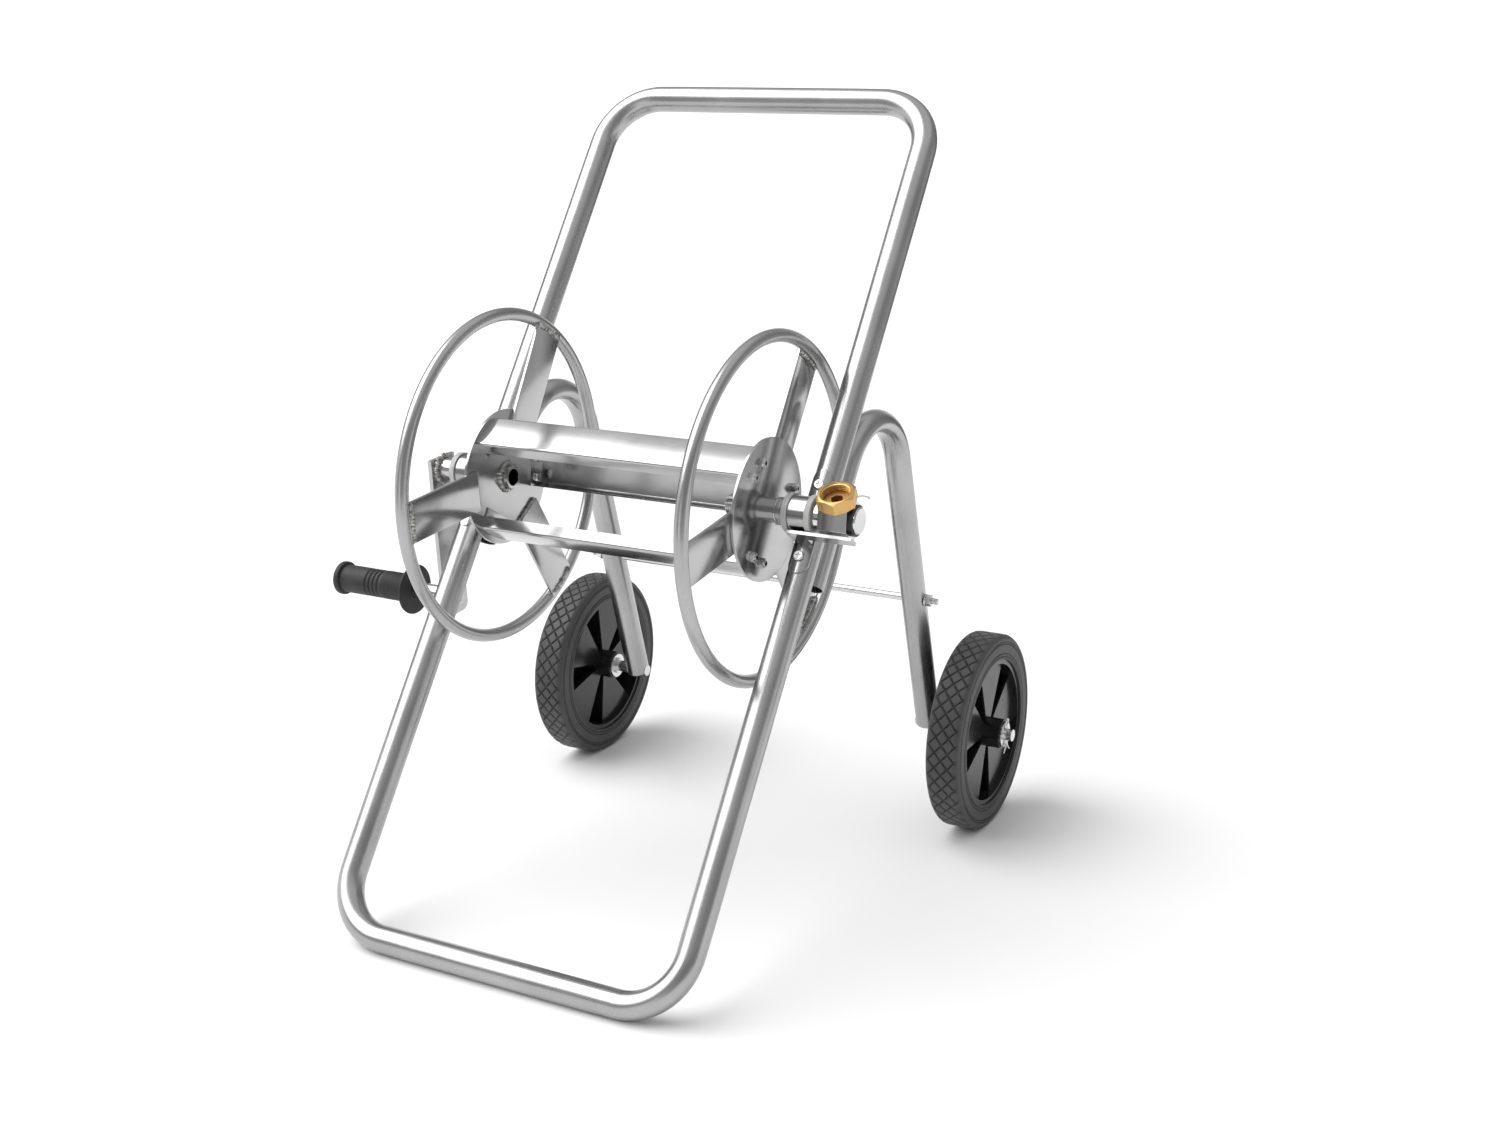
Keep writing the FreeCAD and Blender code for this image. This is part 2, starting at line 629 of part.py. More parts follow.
def inlet_shaft():
    """Pipe that carries the water from the swivel into the drum."""
    start = OUTLET_X + OUTLET_THREAD
    end = SWIVEL_X + SHAFT_IN_SWIVEL
    return pipe(across(start, REEL), X_AXIS, end - start, SHAFT_D, SHAFT_D - 2 * SHAFT_WALL)


def outlet_nipple():
    """Male thread inside the drum, where the hose is screwed on."""
    return pipe(across(OUTLET_X, REEL), X_AXIS, OUTLET_THREAD, OUTLET_D, SHAFT_D - 2 * SHAFT_WALL)


def shaft_collar():
    """Turned collar between the disc and the bearing."""
    end = LOOP_HALF_WIDTH - BUSH_LENGTH / 2 - BUSH_FLANGE_T - FACE_GAP
    return pipe(across(end - COLLAR_LENGTH, REEL), X_AXIS, COLLAR_LENGTH, COLLAR_D, SHAFT_D)


# ---- Crank ----------------------------------------------------------------------------------
def crank_arm():
    """Flat bar, square above the shaft and rounded below the handle."""
    along = X_AXIS.cross(CRANK_DOWN)
    top = across(-CRANK_X, REEL) - CRANK_DOWN * CRANK_TOP
    long = CRANK_TOP + CRANK_LENGTH + CRANK_END
    bar = slab(top - along * (CRANK_W / 2), X_AXIS * -CRANK_T, along * CRANK_W, CRANK_DOWN * long)
    low = top + CRANK_DOWN * long
    corners = [e for e in bar.Edges if is_low_corner(e, low)]
    bar = bar.makeFillet(CRANK_CORNER_R, corners)
    return bar.cut(rod(across(-CRANK_X, HANDLE), -X_AXIS, CRANK_T, HANDLE_BOLT_D))


def is_low_corner(edge, low):
    """Whether an edge runs across the bar at its lower end."""
    a, b = (v.Point for v in edge.Vertexes)
    level = max(abs((a - low).dot(CRANK_DOWN)), abs((b - low).dot(CRANK_DOWN)))
    return level < 1e-6 and abs((a - b).normalize().x) > 0.9


def handle_bolt():
    """Bolt that carries the turning sleeve; its head is inside the grip."""
    head_at = sleeve_end() + END_PLAY
    start = across(-(CRANK_X - HANDLE_NUT_T - HANDLE_NUT_END), HANDLE)
    length = head_at - CRANK_X + HANDLE_NUT_T + HANDLE_NUT_END
    shank = rod(start, -X_AXIS, length, HANDLE_BOLT_D)
    head = rod(across(-head_at, HANDLE), -X_AXIS, HANDLE_HEAD_T, HANDLE_HEAD_D)
    seat = ARM_OUTER_X
    shoulder = rod(across(-seat, HANDLE), -X_AXIS, END_PLAY, HANDLE_HEAD_D)
    return shank.fuse(head).fuse(shoulder)


def handle_nut():
    start = across(-CRANK_X, HANDLE)
    nut = hexagon(start, X_AXIS, HANDLE_NUT_T, HANDLE_NUT_AF, Z_AXIS)
    return nut.cut(rod(start, X_AXIS, HANDLE_NUT_T, HANDLE_BOLT_D))


def sleeve_end():
    """Distance from the symmetry plane to the sleeve's outer end."""
    return GRIP_OUTER_X - GRIP_END_WALL - HANDLE_HEAD_T - 2 * END_PLAY


def grip_sleeve():
    """Steel tube that turns on the handle bolt inside the grip."""
    start = ARM_OUTER_X + 2 * END_PLAY
    bore = HANDLE_BOLT_D + 2 * SLEEVE_PLAY
    return pipe(across(-start, HANDLE), -X_AXIS, sleeve_end() - start, SLEEVE_D, bore)


def crank_grip():
    """Moulded grip with a hand-stop flange, a bead at the tip and grooves round its middle."""
    at = across(-GRIP_INNER_X, HANDLE)
    body = GRIP_BODY_D / 2
    tip_start = GRIP_LENGTH - GRIP_TIP_T
    points = [(0, 0), (0, GRIP_FLANGE_D / 2), (GRIP_FLANGE_T, GRIP_FLANGE_D / 2), (GRIP_FLANGE_T, body)]
    first = (GRIP_LENGTH - GRIP_GROOVE_PITCH * (GRIP_GROOVES - 1)) / 2
    for k in range(GRIP_GROOVES):
        x = first + k * GRIP_GROOVE_PITCH
        low = body - GRIP_GROOVE_DEPTH
        half = GRIP_GROOVE_W / 2
        points += [(x - half, body), (x - half, low), (x + half, low), (x + half, body)]
    points += [(tip_start, body), (tip_start, GRIP_TIP_D / 2)]
    points += [(GRIP_LENGTH, GRIP_TIP_D / 2), (GRIP_LENGTH, 0)]
    grip = turned(points, at, -X_AXIS, Z_AXIS)
    hollow = rod(at, -X_AXIS, GRIP_LENGTH - GRIP_END_WALL, SLEEVE_D)
    return grip.cut(hollow)


# ---- Swivel and inlet -----------------------------------------------------------------------
def swivel_body():
    """Hexagonal water swivel that the shaft turns in, with a port towards the inlet nut."""
    bar = hexagon(across(SWIVEL_X, REEL), X_AXIS, SWIVEL_LENGTH, SWIVEL_AF, X_AXIS.cross(INLET_DIR))
    neck = rod(across(SWIVEL_X - SWIVEL_NECK, REEL), X_AXIS, SWIVEL_NECK, SWIVEL_NECK_D)
    body = bar.fuse(neck)
    start = across(SWIVEL_X - SWIVEL_NECK, REEL)
    deep = SWIVEL_NECK + SWIVEL_LENGTH - SWIVEL_WALL_END
    body = body.cut(rod(start, X_AXIS, deep, SHAFT_D + 2 * RUNNING))
    seat = across(INLET_X, REEL) + INLET_DIR * (SWIVEL_AF / 2)
    socket = rod(seat - INLET_DIR * TAIL_SOCKET, INLET_DIR, TAIL_SOCKET, TAIL_SHANK_D)
    port = hexagon(across(INLET_X, REEL), INLET_DIR, SWIVEL_AF / 2, TAIL_BORE_AF, X_AXIS)
    return body.cut(socket).cut(port)


def swivel_cap():
    cap = rod(across(SWIVEL_OUTER_X, REEL), X_AXIS, CAP_T, CAP_D)
    return cap.makeChamfer(1.0, [e for e in cap.Edges if is_rim(e, across(SWIVEL_OUTER_X + CAP_T, REEL))])


def swivel_seal():
    """Black ring round the end cap."""
    return pipe(across(SWIVEL_OUTER_X, REEL), X_AXIS, SEAL_T, SEAL_D, CAP_D)


def stop_bar():
    """Flat bar whose foot stands on the strap's lower ear; it keeps the swivel from turning."""
    near = BUSH_FLANGE_D / 2 + FACE_GAP
    half = BUSH_LENGTH / 2 - STRAP_GAP
    at = across(LOOP_HALF_WIDTH, REEL) - UP_LOOP * near
    corner = at - X_AXIS * half - OFF_LOOP * (STOP_BAR_W / 2)
    reach = X_AXIS * (STOP_BAR_END - LOOP_HALF_WIDTH + half)
    thickness = UP_LOOP * -STOP_BAR_T
    bar = slab(corner, reach, OFF_LOOP * STOP_BAR_W, thickness)
    foot = slab(at - X_AXIS * half - OFF_LOOP * REEL_OUT, X_AXIS * (2 * half), OFF_LOOP * REEL_OUT, thickness)
    sole = rod(at - OFF_LOOP * REEL_OUT - UP_LOOP * TUBE_D, UP_LOOP, 2 * TUBE_D, TUBE_D + 2 * STRAP_T)
    return bar.fuse(foot).removeSplitter().cut(sole)


def inlet_tail():
    """Brass tail that holds the union nut on the swivel and seals against the hose."""
    seat = SWIVEL_AF / 2 - TAIL_SOCKET
    start = across(INLET_X, REEL) + INLET_DIR * seat
    shank = TAIL_SOCKET + FACE_GAP + NUT_BACK + FACE_GAP
    tail = rod(start, INLET_DIR, shank, TAIL_SHANK_D)
    tail = tail.fuse(rod(start + INLET_DIR * shank, INLET_DIR, TAIL_FLANGE_T, TAIL_FLANGE_D))
    return tail.cut(hexagon(start, INLET_DIR, shank + TAIL_FLANGE_T, TAIL_BORE_AF, X_AXIS))


def inlet_nut():
    """Brass union nut, free to turn on the tail, with a relief groove behind its thread."""
    back = across(INLET_X, REEL) + INLET_DIR * (SWIVEL_AF / 2 + FACE_GAP)
    turn = math.radians(NUT_TURN)
    corner = X_AXIS * math.cos(turn) + X_AXIS.cross(INLET_DIR) * math.sin(turn)
    nut = hexagon(back, INLET_DIR, NUT_HEIGHT, NUT_AF, corner)
    nut = nut.cut(rod(back, INLET_DIR, NUT_BACK, TAIL_SHANK_D + 2 * RUNNING))
    mouth = NUT_HEIGHT - NUT_BACK
    nut = nut.cut(rod(back + INLET_DIR * NUT_BACK, INLET_DIR, mouth, NUT_THREAD_D))
    relief = FACE_GAP + TAIL_FLANGE_T + RELIEF_PAST
    nut = nut.cut(rod(back + INLET_DIR * NUT_BACK, INLET_DIR, relief, NUT_THREAD_D + 2 * RELIEF_DEPTH))
    rim = back + INLET_DIR * (NUT_HEIGHT - NUT_CHAMFER)
    flare = Part.makeCone(NUT_THREAD_D / 2, NUT_THREAD_D / 2 + NUT_CHAMFER, NUT_CHAMFER, rim, INLET_DIR)
    return nut.cut(flare)


# ---- Wheels ---------------------------------------------------------------------------------
def tyre(side):
    """Solid tyre with rounded shoulders."""
    middle = across(side * WHEEL_X, AXLE)
    start = middle - X_AXIS * (TYRE_WIDTH / 2)
    band = rod(start, X_AXIS, TYRE_WIDTH, WHEEL_D)
    rims = [e for e in band.Edges if isinstance(e.Curve, Part.Circle)]
    band = band.makeFillet(TYRE_EDGE_R, rims)
    return band.cut(rod(start, X_AXIS, TYRE_WIDTH, TYRE_SEAT_D))


def rim(side):
    """Moulded wheel centre: band, hub and a web whose sectors step in and out by turns."""
    middle = across(side * WHEEL_X, AXLE)
    inner_d = TYRE_SEAT_D - 2 * RIM_BAND
    shape = pipe(middle - X_AXIS * (RIM_WIDTH / 2), X_AXIS, RIM_WIDTH, TYRE_SEAT_D, inner_d)
    shape = shape.fuse(rod(middle - X_AXIS * (HUB_LENGTH / 2), X_AXIS, HUB_LENGTH, HUB_D))
    span = 360 / RIM_SECTORS
    wall_span = math.degrees(RIM_WEB / HUB_D)
    for k in range(RIM_SECTORS):
        turn = RIM_TURN[side] + (k - 0.5) * span
        low = RIM_STEP - RIM_WEB if k % 2 == 0 else -RIM_STEP
        plate = sector(middle + X_AXIS * low, RIM_WEB, turn - wall_span, span + 2 * wall_span)
        shape = shape.fuse(plate).fuse(rim_wall(middle, turn))
    shape = shape.removeSplitter()
    bore = rod(middle - X_AXIS * (HUB_LENGTH / 2), X_AXIS, HUB_LENGTH, STUB_D + 2 * RUNNING)
    return shape.cut(bore)


def sector(start, depth, turn, span):
    """A pie slice that reaches halfway into the band."""
    radius = (TYRE_SEAT_D - RIM_BAND) / 2
    pie = Part.makeCylinder(radius, depth, Vec(0, 0, 0), Z_AXIS, span)
    pie.rotate(Vec(0, 0, 0), Z_AXIS, turn)
    pie.rotate(Vec(0, 0, 0), Vec(1, 1, 1), 120)
    pie.translate(start)
    return pie


def rim_wall(middle, turn):
    """Radial wall between two sectors, from one stepped face to the other."""
    out = Vec(0, math.cos(math.radians(turn)), math.sin(math.radians(turn)))
    flat = X_AXIS.cross(out)
    reach = (TYRE_SEAT_D - RIM_BAND) / 2
    corner = middle - X_AXIS * RIM_STEP - flat * (RIM_WEB / 2)
    return slab(corner, X_AXIS * (2 * RIM_STEP), flat * RIM_WEB, out * reach)


# ---- Build ----------------------------------------------------------------------------------
os.makedirs("parts", exist_ok=True)
save("main_loop", [tapped_loop()])
save("tie_rod", [tie_rod()])
save("tie_washers", tie_washers())
save("tie_nuts", tie_nuts())
save("wheel_washers", wheel_washers())
save("split_pins", [split_pin(-1), split_pin(1)])
save("strap_screws", strap_screws())
save("swivel_body", [swivel_body()])
save("swivel_cap", [swivel_cap()])
save("swivel_seal", [swivel_seal()])
save("stop_bar", [stop_bar()])
save("inlet_tail", [inlet_tail()])
save("inlet_nut", [inlet_nut()])
save("slat_bolts", slat_bolts())
save("slat_nuts", slat_nuts())
save("crank_shaft", [crank_shaft()])
save("inlet_shaft", [inlet_shaft()])
save("outlet_nipple", [outlet_nipple()])
save("shaft_collar", [shaft_collar()])
save("crank_arm", [crank_arm()])
save("handle_bolt", [handle_bolt()])
save("handle_nut", [handle_nut()])
save("grip_sleeve", [grip_sleeve()])
save("crank_grip", [crank_grip()])
for number in range(SLATS):
    save("slat_" + str(number + 1), [slat(number)])
for name, side in (("left", -1), ("right", 1)):
    save(name + "_leg", [leg(side)])
    save(name + "_axle_stub", [axle_stub(side)])
    save(name + "_tyre", [tyre(side)])
    save(name + "_rim", [rim(side)])
    save(name + "_bearing_bush", [bearing_bush(side)])
    save(name + "_bearing_strap", [bearing_strap(side)])
    save(name + "_disc", [disc(side)])
    save(name + "_ring", [ring(side)])
    for number, turn in enumerate(SPOKE_TURNS[side], 1):
        save(name + "_spoke_" + str(number), [spoke(side, turn)])
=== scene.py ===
import json
import math
import bmesh
import bpy
import numpy as np
from mathutils import Matrix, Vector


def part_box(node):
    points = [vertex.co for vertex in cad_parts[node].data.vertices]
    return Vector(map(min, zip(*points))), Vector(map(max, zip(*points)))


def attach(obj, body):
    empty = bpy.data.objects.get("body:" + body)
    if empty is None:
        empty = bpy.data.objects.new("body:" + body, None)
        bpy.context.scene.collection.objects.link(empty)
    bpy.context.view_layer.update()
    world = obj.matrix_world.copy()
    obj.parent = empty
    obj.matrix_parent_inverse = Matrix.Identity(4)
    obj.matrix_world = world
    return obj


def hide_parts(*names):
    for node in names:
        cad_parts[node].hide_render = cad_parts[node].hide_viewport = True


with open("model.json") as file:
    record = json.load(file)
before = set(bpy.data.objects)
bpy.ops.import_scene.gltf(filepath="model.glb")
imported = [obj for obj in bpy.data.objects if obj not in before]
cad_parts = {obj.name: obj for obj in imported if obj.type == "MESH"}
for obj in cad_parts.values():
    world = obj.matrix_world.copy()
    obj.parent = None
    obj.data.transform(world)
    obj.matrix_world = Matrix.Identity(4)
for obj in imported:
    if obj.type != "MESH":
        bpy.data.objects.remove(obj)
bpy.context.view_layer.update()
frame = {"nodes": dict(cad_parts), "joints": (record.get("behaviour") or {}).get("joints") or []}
TAU = 2 * math.pi
MM = 0.001


# ---- Studio: floor, soft light and camera ----------------------------------------------------
# A white paper floor under one large soft light from the upper left, with pale panels and darker
# gaps all round the room, which the bright metal mirrors as long light and dark bands.
def new_material(name):
    """An empty node material; returns it with its tree and its Principled shader."""
    material = bpy.data.materials.new(name)
    material.use_nodes = True
    return material, material.node_tree, material.node_tree.nodes["Principled BSDF"]


def add_node(tree, kind, inputs=None, **settings):
    """A node with its settings and the values or links of its inputs."""
    node = tree.nodes.new(kind)
    for key, value in settings.items():
        setattr(node, key, value)
    for key, value in (inputs or {}).items():
        if isinstance(value, bpy.types.NodeSocket):
            tree.links.new(value, node.inputs[key])
        else:
            node.inputs[key].default_value = value
    return node


def ramp(tree, factor, stops):
    """A colour ramp through (place, grey or colour) stops."""
    node = add_node(tree, "ShaderNodeValToRGB", {0: factor})
    elements = node.color_ramp.elements
    while len(elements) < len(stops):
        elements.new(0.5)
    for element, (place, value) in zip(elements, stops):
        element.position = place
        colour = (value, value, value) if isinstance(value, float) else value
        element.color = (*colour, 1)
    return node.outputs[0]


def mapped(tree, scale, source="Object"):
    """Texture coordinates stretched by a scale."""
    place = add_node(tree, "ShaderNodeTexCoord")
    return add_node(tree, "ShaderNodeMapping", {"Vector": place.outputs[source], "Scale": scale}).outputs[0]


def noise(tree, vector, scale, detail=3.0):
    """Soft noise, about 0 to 1, at a vector times a scale."""
    inputs = {"Vector": vector, "Scale": scale, "Detail": detail, "Roughness": 0.5}
    return add_node(tree, "ShaderNodeTexNoise", inputs).outputs[0]


def scaled(tree, value, factor, base):
    """value times factor, plus base."""
    inputs = {0: value, 1: factor, 2: base}
    return add_node(tree, "ShaderNodeMath", inputs, operation="MULTIPLY_ADD").outputs[0]


def studio_floor():
    """A level round sheet of white paper, a little mottled, that ends out of sight in the room."""
    mesh = bpy.data.meshes.new("floor")
    round_edge = [(FLOOR_R * math.cos(TAU * k / 64), FLOOR_R * math.sin(TAU * k / 64), 0) for k in range(64)]
    mesh.from_pydata(round_edge, [], [tuple(range(64))])
    floor = bpy.data.objects.new("floor", mesh)
    bpy.context.scene.collection.objects.link(floor)
    material, tree, shader = new_material("paper")
    tint = ramp(tree, noise(tree, mapped(tree, (1, 1, 1)), 3.0), [(0.0, 0.93), (1.0, 0.95)])
    tree.links.new(tint, shader.inputs["Base Color"])
    shader.inputs["Roughness"].default_value = 0.9
    shader.inputs["Specular IOR Level"].default_value = 0.1
    mesh.materials.append(material)


def studio_room():
    """Grey level by bearing (0 and 1 the camera's side, 0.25 left, 0.5 behind, 0.75 right) with a
    bright ceiling panel; white only straight behind the object."""
    world = bpy.data.worlds.new("studio")
    bpy.context.scene.world = world
    world.use_nodes = True
    tree = world.node_tree
    direction = add_node(tree, "ShaderNodeTexCoord").outputs["Generated"]
    turned = add_node(tree, "ShaderNodeMapping", {"Vector": direction, "Rotation": (0, 0, -VIEW_AZIMUTH)})
    parts = add_node(tree, "ShaderNodeSeparateXYZ", {0: turned.outputs[0]})
    bearing = add_node(tree, "ShaderNodeMath", {0: parts.outputs["X"], 1: parts.outputs["Y"]},
                       operation="ARCTAN2")
    share = add_node(tree, "ShaderNodeMapRange", {"Value": bearing.outputs[0], "From Min": -math.pi,
                                                  "From Max": math.pi}).outputs[0]
    walls = ramp(tree, share, WALL_TONES)
    height = ramp(tree, parts.outputs["Z"], [(0.10, 0.0), (0.35, 1.0)])
    upper = ramp(tree, parts.outputs["Z"], CEILING_TONES)
    room = add_node(tree, "ShaderNodeMixRGB", {0: height, 1: walls, 2: upper})
    tree.links.new(room.outputs[0], tree.nodes["Background"].inputs["Color"])
    tree.nodes["Background"].inputs["Strength"].default_value = 1.05


FLOOR_R = 2.6
CEILING_TONES = [(0.35, 0.26), (0.60, 0.34), (0.72, 0.62), (0.95, 0.62), (1.0, 0.5)]
WALL_TONES = [(0.0, 0.26), (0.05, 0.38), (0.075, 1.0), (0.11, 1.0), (0.14, 0.32), (0.22, 0.40), (0.26, 0.9),
              (0.33, 0.9), (0.37, 0.10), (0.415, 0.10), (0.43, 1.0), (0.57, 1.0), (0.585, 0.10), (0.63, 0.10),
              (0.68, 0.45), (0.78, 0.40), (0.80, 1.0), (0.84, 1.0), (0.87, 0.36), (1.0, 0.26)]
VIEW_AZIMUTH = math.radians(28.417)
VIEW_ELEVATION = math.radians(15.521)
VIEW_ROLL = math.radians(-0.115)
VIEW_PLACE = (0.91731, -1.46530, 0.77269)
LENS = 44.79
SENSOR = 36.0
back = np.array([math.sin(VIEW_AZIMUTH) * math.cos(VIEW_ELEVATION),
                 -math.cos(VIEW_AZIMUTH) * math.cos(VIEW_ELEVATION), math.sin(VIEW_ELEVATION)])
right = np.array([math.cos(VIEW_AZIMUTH), math.sin(VIEW_AZIMUTH), 0.0])
turn = Matrix(np.column_stack([right, np.cross(back, right), back]).tolist()).to_4x4()
camera = bpy.data.objects.new("camera", bpy.data.cameras.new("camera"))
camera.data.lens = LENS
camera.data.sensor_width = SENSOR
camera.matrix_world = Matrix.Translation(VIEW_PLACE) @ turn @ Matrix.Rotation(VIEW_ROLL, 4, "Z")
bpy.context.scene.collection.objects.link(camera)
bpy.context.scene.camera = camera
bpy.context.scene.view_settings.view_transform = "Standard"
bpy.context.scene.view_settings.exposure = 0.22
studio_floor()
studio_room()
sun = bpy.data.objects.new("soft_key", bpy.data.lights.new("soft_key", "SUN"))
sun.data.energy = 2.3
sun.data.angle = math.radians(64)
sun.rotation_euler = (math.radians(18), math.radians(-38), 0)
bpy.context.scene.collection.objects.link(sun)


# ---- Main loop -------------------------------------------------------------------------------
# One 25 mm steel tube bent to a long rounded rectangle and welded shut in its bottom bar: foot,
# sides and handle in one.  Polished, with faint draw marks along it and slightly flattened bends.
def centre(node):
    """Middle of a node's box."""
    low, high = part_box(node)
    return (np.array(low) + np.array(high)) / 2


def grid_mesh(name, points, wrap_u=False, wrap_v=True, uv=None):
    """A sheet of quads over a (rows, columns, 3) array of points; wrapped ways join up.  The
    faces are turned outwards by the sign of the enclosed volume."""
    rows, columns = points.shape[:2]
    i, j = np.meshgrid(np.arange(rows if wrap_u else rows - 1), np.arange(columns if wrap_v else columns - 1),
                       indexing="ij")
    corners = [(i, j), (i + 1, j), (i + 1, j + 1), (i, j + 1)]
    quads = np.stack([(a % rows) * columns + b % columns for a, b in corners], -1).reshape(-1, 4)
    flat = points.reshape(-1, 3)
    a, b, c, d = (flat[quads[:, k]] - flat.mean(0) for k in range(4))
    volume = (np.cross(a, b) * c).sum() + (np.cross(a, c) * d).sum()
    order = [0, 1, 2, 3] if volume > 0 else [3, 2, 1, 0]
    mesh = bpy.data.meshes.new(name)
    mesh.from_pydata(flat, [], quads[:, order])
    if uv is not None:
        u, v = uv
        loops = np.stack([np.stack([u[a], v[b]], -1) for a, b in corners], -2).reshape(-1, 4, 2)[:, order]
        layer = mesh.uv_layers.new(name="UVMap")
        layer.data.foreach_set("uv", loops.reshape(-1).astype(np.float32))
    return mesh


def merged(mesh):
    """The mesh with points that share a place joined, which closes ends drawn in to one point."""
    tidy = bmesh.new()
    tidy.from_mesh(mesh)
    bmesh.ops.remove_doubles(tidy, verts=tidy.verts, dist=1e-7)
    tidy.to_mesh(mesh)
    tidy.free()
    return mesh


def add_piece(name, meshes, material, body, replaces=(), sharp=40.0):
    """One object from one or more closed meshes, smooth but for edges over the sharp angle."""
    built = bmesh.new()
    for part in meshes:
        built.from_mesh(part)
    mesh = bpy.data.meshes.new(name)
    built.to_mesh(mesh)
    built.free()
    mesh.polygons.foreach_set("use_smooth", [True] * len(mesh.polygons))
    mesh.set_sharp_from_angle(angle=math.radians(sharp))
    mesh.materials.append(material)
    piece = bpy.data.objects.new(name, mesh)
    bpy.context.scene.collection.objects.link(piece)
    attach(piece, body)
    if replaces:
        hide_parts(*replaces)
    return piece


def arc_lengths(path, closed):
    """Distance along a path at each point, with the closing one where it is closed."""
    ends = np.vstack([path, path[:1]]) if closed else path
    return np.concatenate([[0], np.cumsum(np.linalg.norm(np.diff(ends, axis=0), axis=1))])


def fillet(before, corner, after, radius, steps):
    """Points of the arc of a radius that rounds a corner between two straight runs."""
    a = (before - corner) / np.linalg.norm(before - corner)
    b = (after - corner) / np.linalg.norm(after - corner)
    half = math.acos(a @ b) / 2
    middle = corner + (a + b) / np.linalg.norm(a + b) * radius / math.sin(half)
    first = corner + a * radius / math.tan(half) - middle
    last = corner + b * radius / math.tan(half) - middle
    angle = math.pi - 2 * half
    t = np.linspace(0, angle, steps)[:, None]
    return middle + (np.sin(angle - t) * first + np.sin(t) * last) / math.sin(angle)


def line(a, b, step=0.004):
    """Evenly spaced points between two ends, both left out."""
    count = max(2, int(np.linalg.norm(b - a) / step))
    return a + (b - a) * np.linspace(0, 1, count + 1)[1:-1, None]


def tube_rings(path, normal, radius, closed, columns, dent=None):
    """Section circles along a flat path: each point is the path's, plus the radius times the
    cosine of its angle to the side and times the sine along the normal.  A dent array
    (rows, columns) scales each radius."""
    following = np.roll(path, -1, 0) - np.roll(path, 1, 0)
    if not closed:
        following[0] = path[1] - path[0]
        following[-1] = path[-1] - path[-2]
    tangent = following / np.linalg.norm(following, axis=1)[:, None]
    side = np.cross(normal, tangent)
    around = np.linspace(0, TAU, columns, endpoint=False)
    scale = radius * (np.ones((len(path), columns)) if dent is None else dent)
    return path[:, None] + scale[..., None] * (np.cos(around)[None, :, None] * side[:, None]
                                               + np.sin(around)[None, :, None] * normal)


def bright_tube(name):
    """Polished steel tube: long draw marks along it in the gloss, soft waves in the reflections."""
    material, tree, shader = new_material(name)
    marks = noise(tree, mapped(tree, (3.0, 900.0, 1.0), "UV"), 1.0, 4.0)
    cloud = noise(tree, mapped(tree, (1, 1, 1)), 14.0, 4.0)
    speck = noise(tree, mapped(tree, (1, 1, 1)), 420.0, 2.0)
    tint = ramp(tree, cloud, [(0.3, (0.38, 0.38, 0.382)), (0.7, (0.46, 0.46, 0.462))])
    gloss = scaled(tree, marks, 0.16, 0.15)
    cloudy = scaled(tree, cloud, 0.10, gloss)
    waves = noise(tree, mapped(tree, (9.0, 60.0, 1.0), "UV"), 1.0, 2.0)
    first = add_node(tree, "ShaderNodeBump", {"Height": waves, "Strength": 0.22, "Distance": 0.0012})
    second = add_node(tree, "ShaderNodeBump", {"Height": marks, "Strength": 0.05, "Distance": 0.0002,
                                               "Normal": first.outputs[0]})
    third = add_node(tree, "ShaderNodeBump", {"Height": speck, "Strength": 0.02, "Distance": 0.0002,
                                              "Normal": second.outputs[0]})
    tree.links.new(tint, shader.inputs["Base Color"])
    tree.links.new(cloudy, shader.inputs["Roughness"])
    tree.links.new(third.outputs[0], shader.inputs["Normal"])
    shader.inputs["Metallic"].default_value = 1.0
    return material


TUBE_R = 12.5 * MM
TUBE_WALL = 1.5 * MM
TUBE_COLUMNS = 48                 # points round the section
LOOP_BEND = 52.9 * MM
BEND_CRUSH = 0.05                 # a bend's inner side pulls in by this share of the radius
low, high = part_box("main_loop")
loop_x = (low.x + high.x) / 2
loop_foot = np.array([loop_x, low.y + TUBE_R, low.z + TUBE_R])
loop_top = np.array([loop_x, high.y - TUBE_R, high.z - TUBE_R])
loop_up = (loop_top - loop_foot) / np.linalg.norm(loop_top - loop_foot)
loop_off = np.array([0, -loop_up[2], loop_up[1]])
side_x = (high.x - low.x) / 2 - TUBE_R
across = np.array([side_x, 0, 0])
corners = [loop_foot + across, loop_top + across, loop_top - across, loop_foot - across]
bends = [fillet(corners[k - 1], corners[k], corners[(k + 1) % 4], LOOP_BEND, 28) for k in range(4)]
runs = [line(bends[k][-1], bends[(k + 1) % 4][0], 0.006) for k in range(4)]
loop_path = np.vstack([points for pair in zip(bends, runs) for points in pair])
in_bend = np.concatenate([np.full(len(p), float(k % 2 == 0))
                          for k, p in enumerate(points for pair in zip(bends, runs) for points in pair)])
soft = np.convolve(np.concatenate([in_bend[-4:], in_bend, in_bend[:4]]), np.ones(9) / 9, "valid")
around = np.linspace(0, TAU, TUBE_COLUMNS, endpoint=False)
inner = np.clip(-np.cos(around), 0, 1) ** 2
loop_dent = 1 - BEND_CRUSH * soft[:, None] * inner[None]
rings = tube_rings(loop_path, loop_off, TUBE_R, True, TUBE_COLUMNS, loop_dent)
length = arc_lengths(loop_path, True)
girth = np.arange(TUBE_COLUMNS + 1) * TAU * TUBE_R / TUBE_COLUMNS
TUBE_STEEL = bright_tube("polished_tube")
add_piece("loop_tube", [grid_mesh("loop", rings, True, True, (length, girth))], TUBE_STEEL, "frame",
          ["main_loop"])


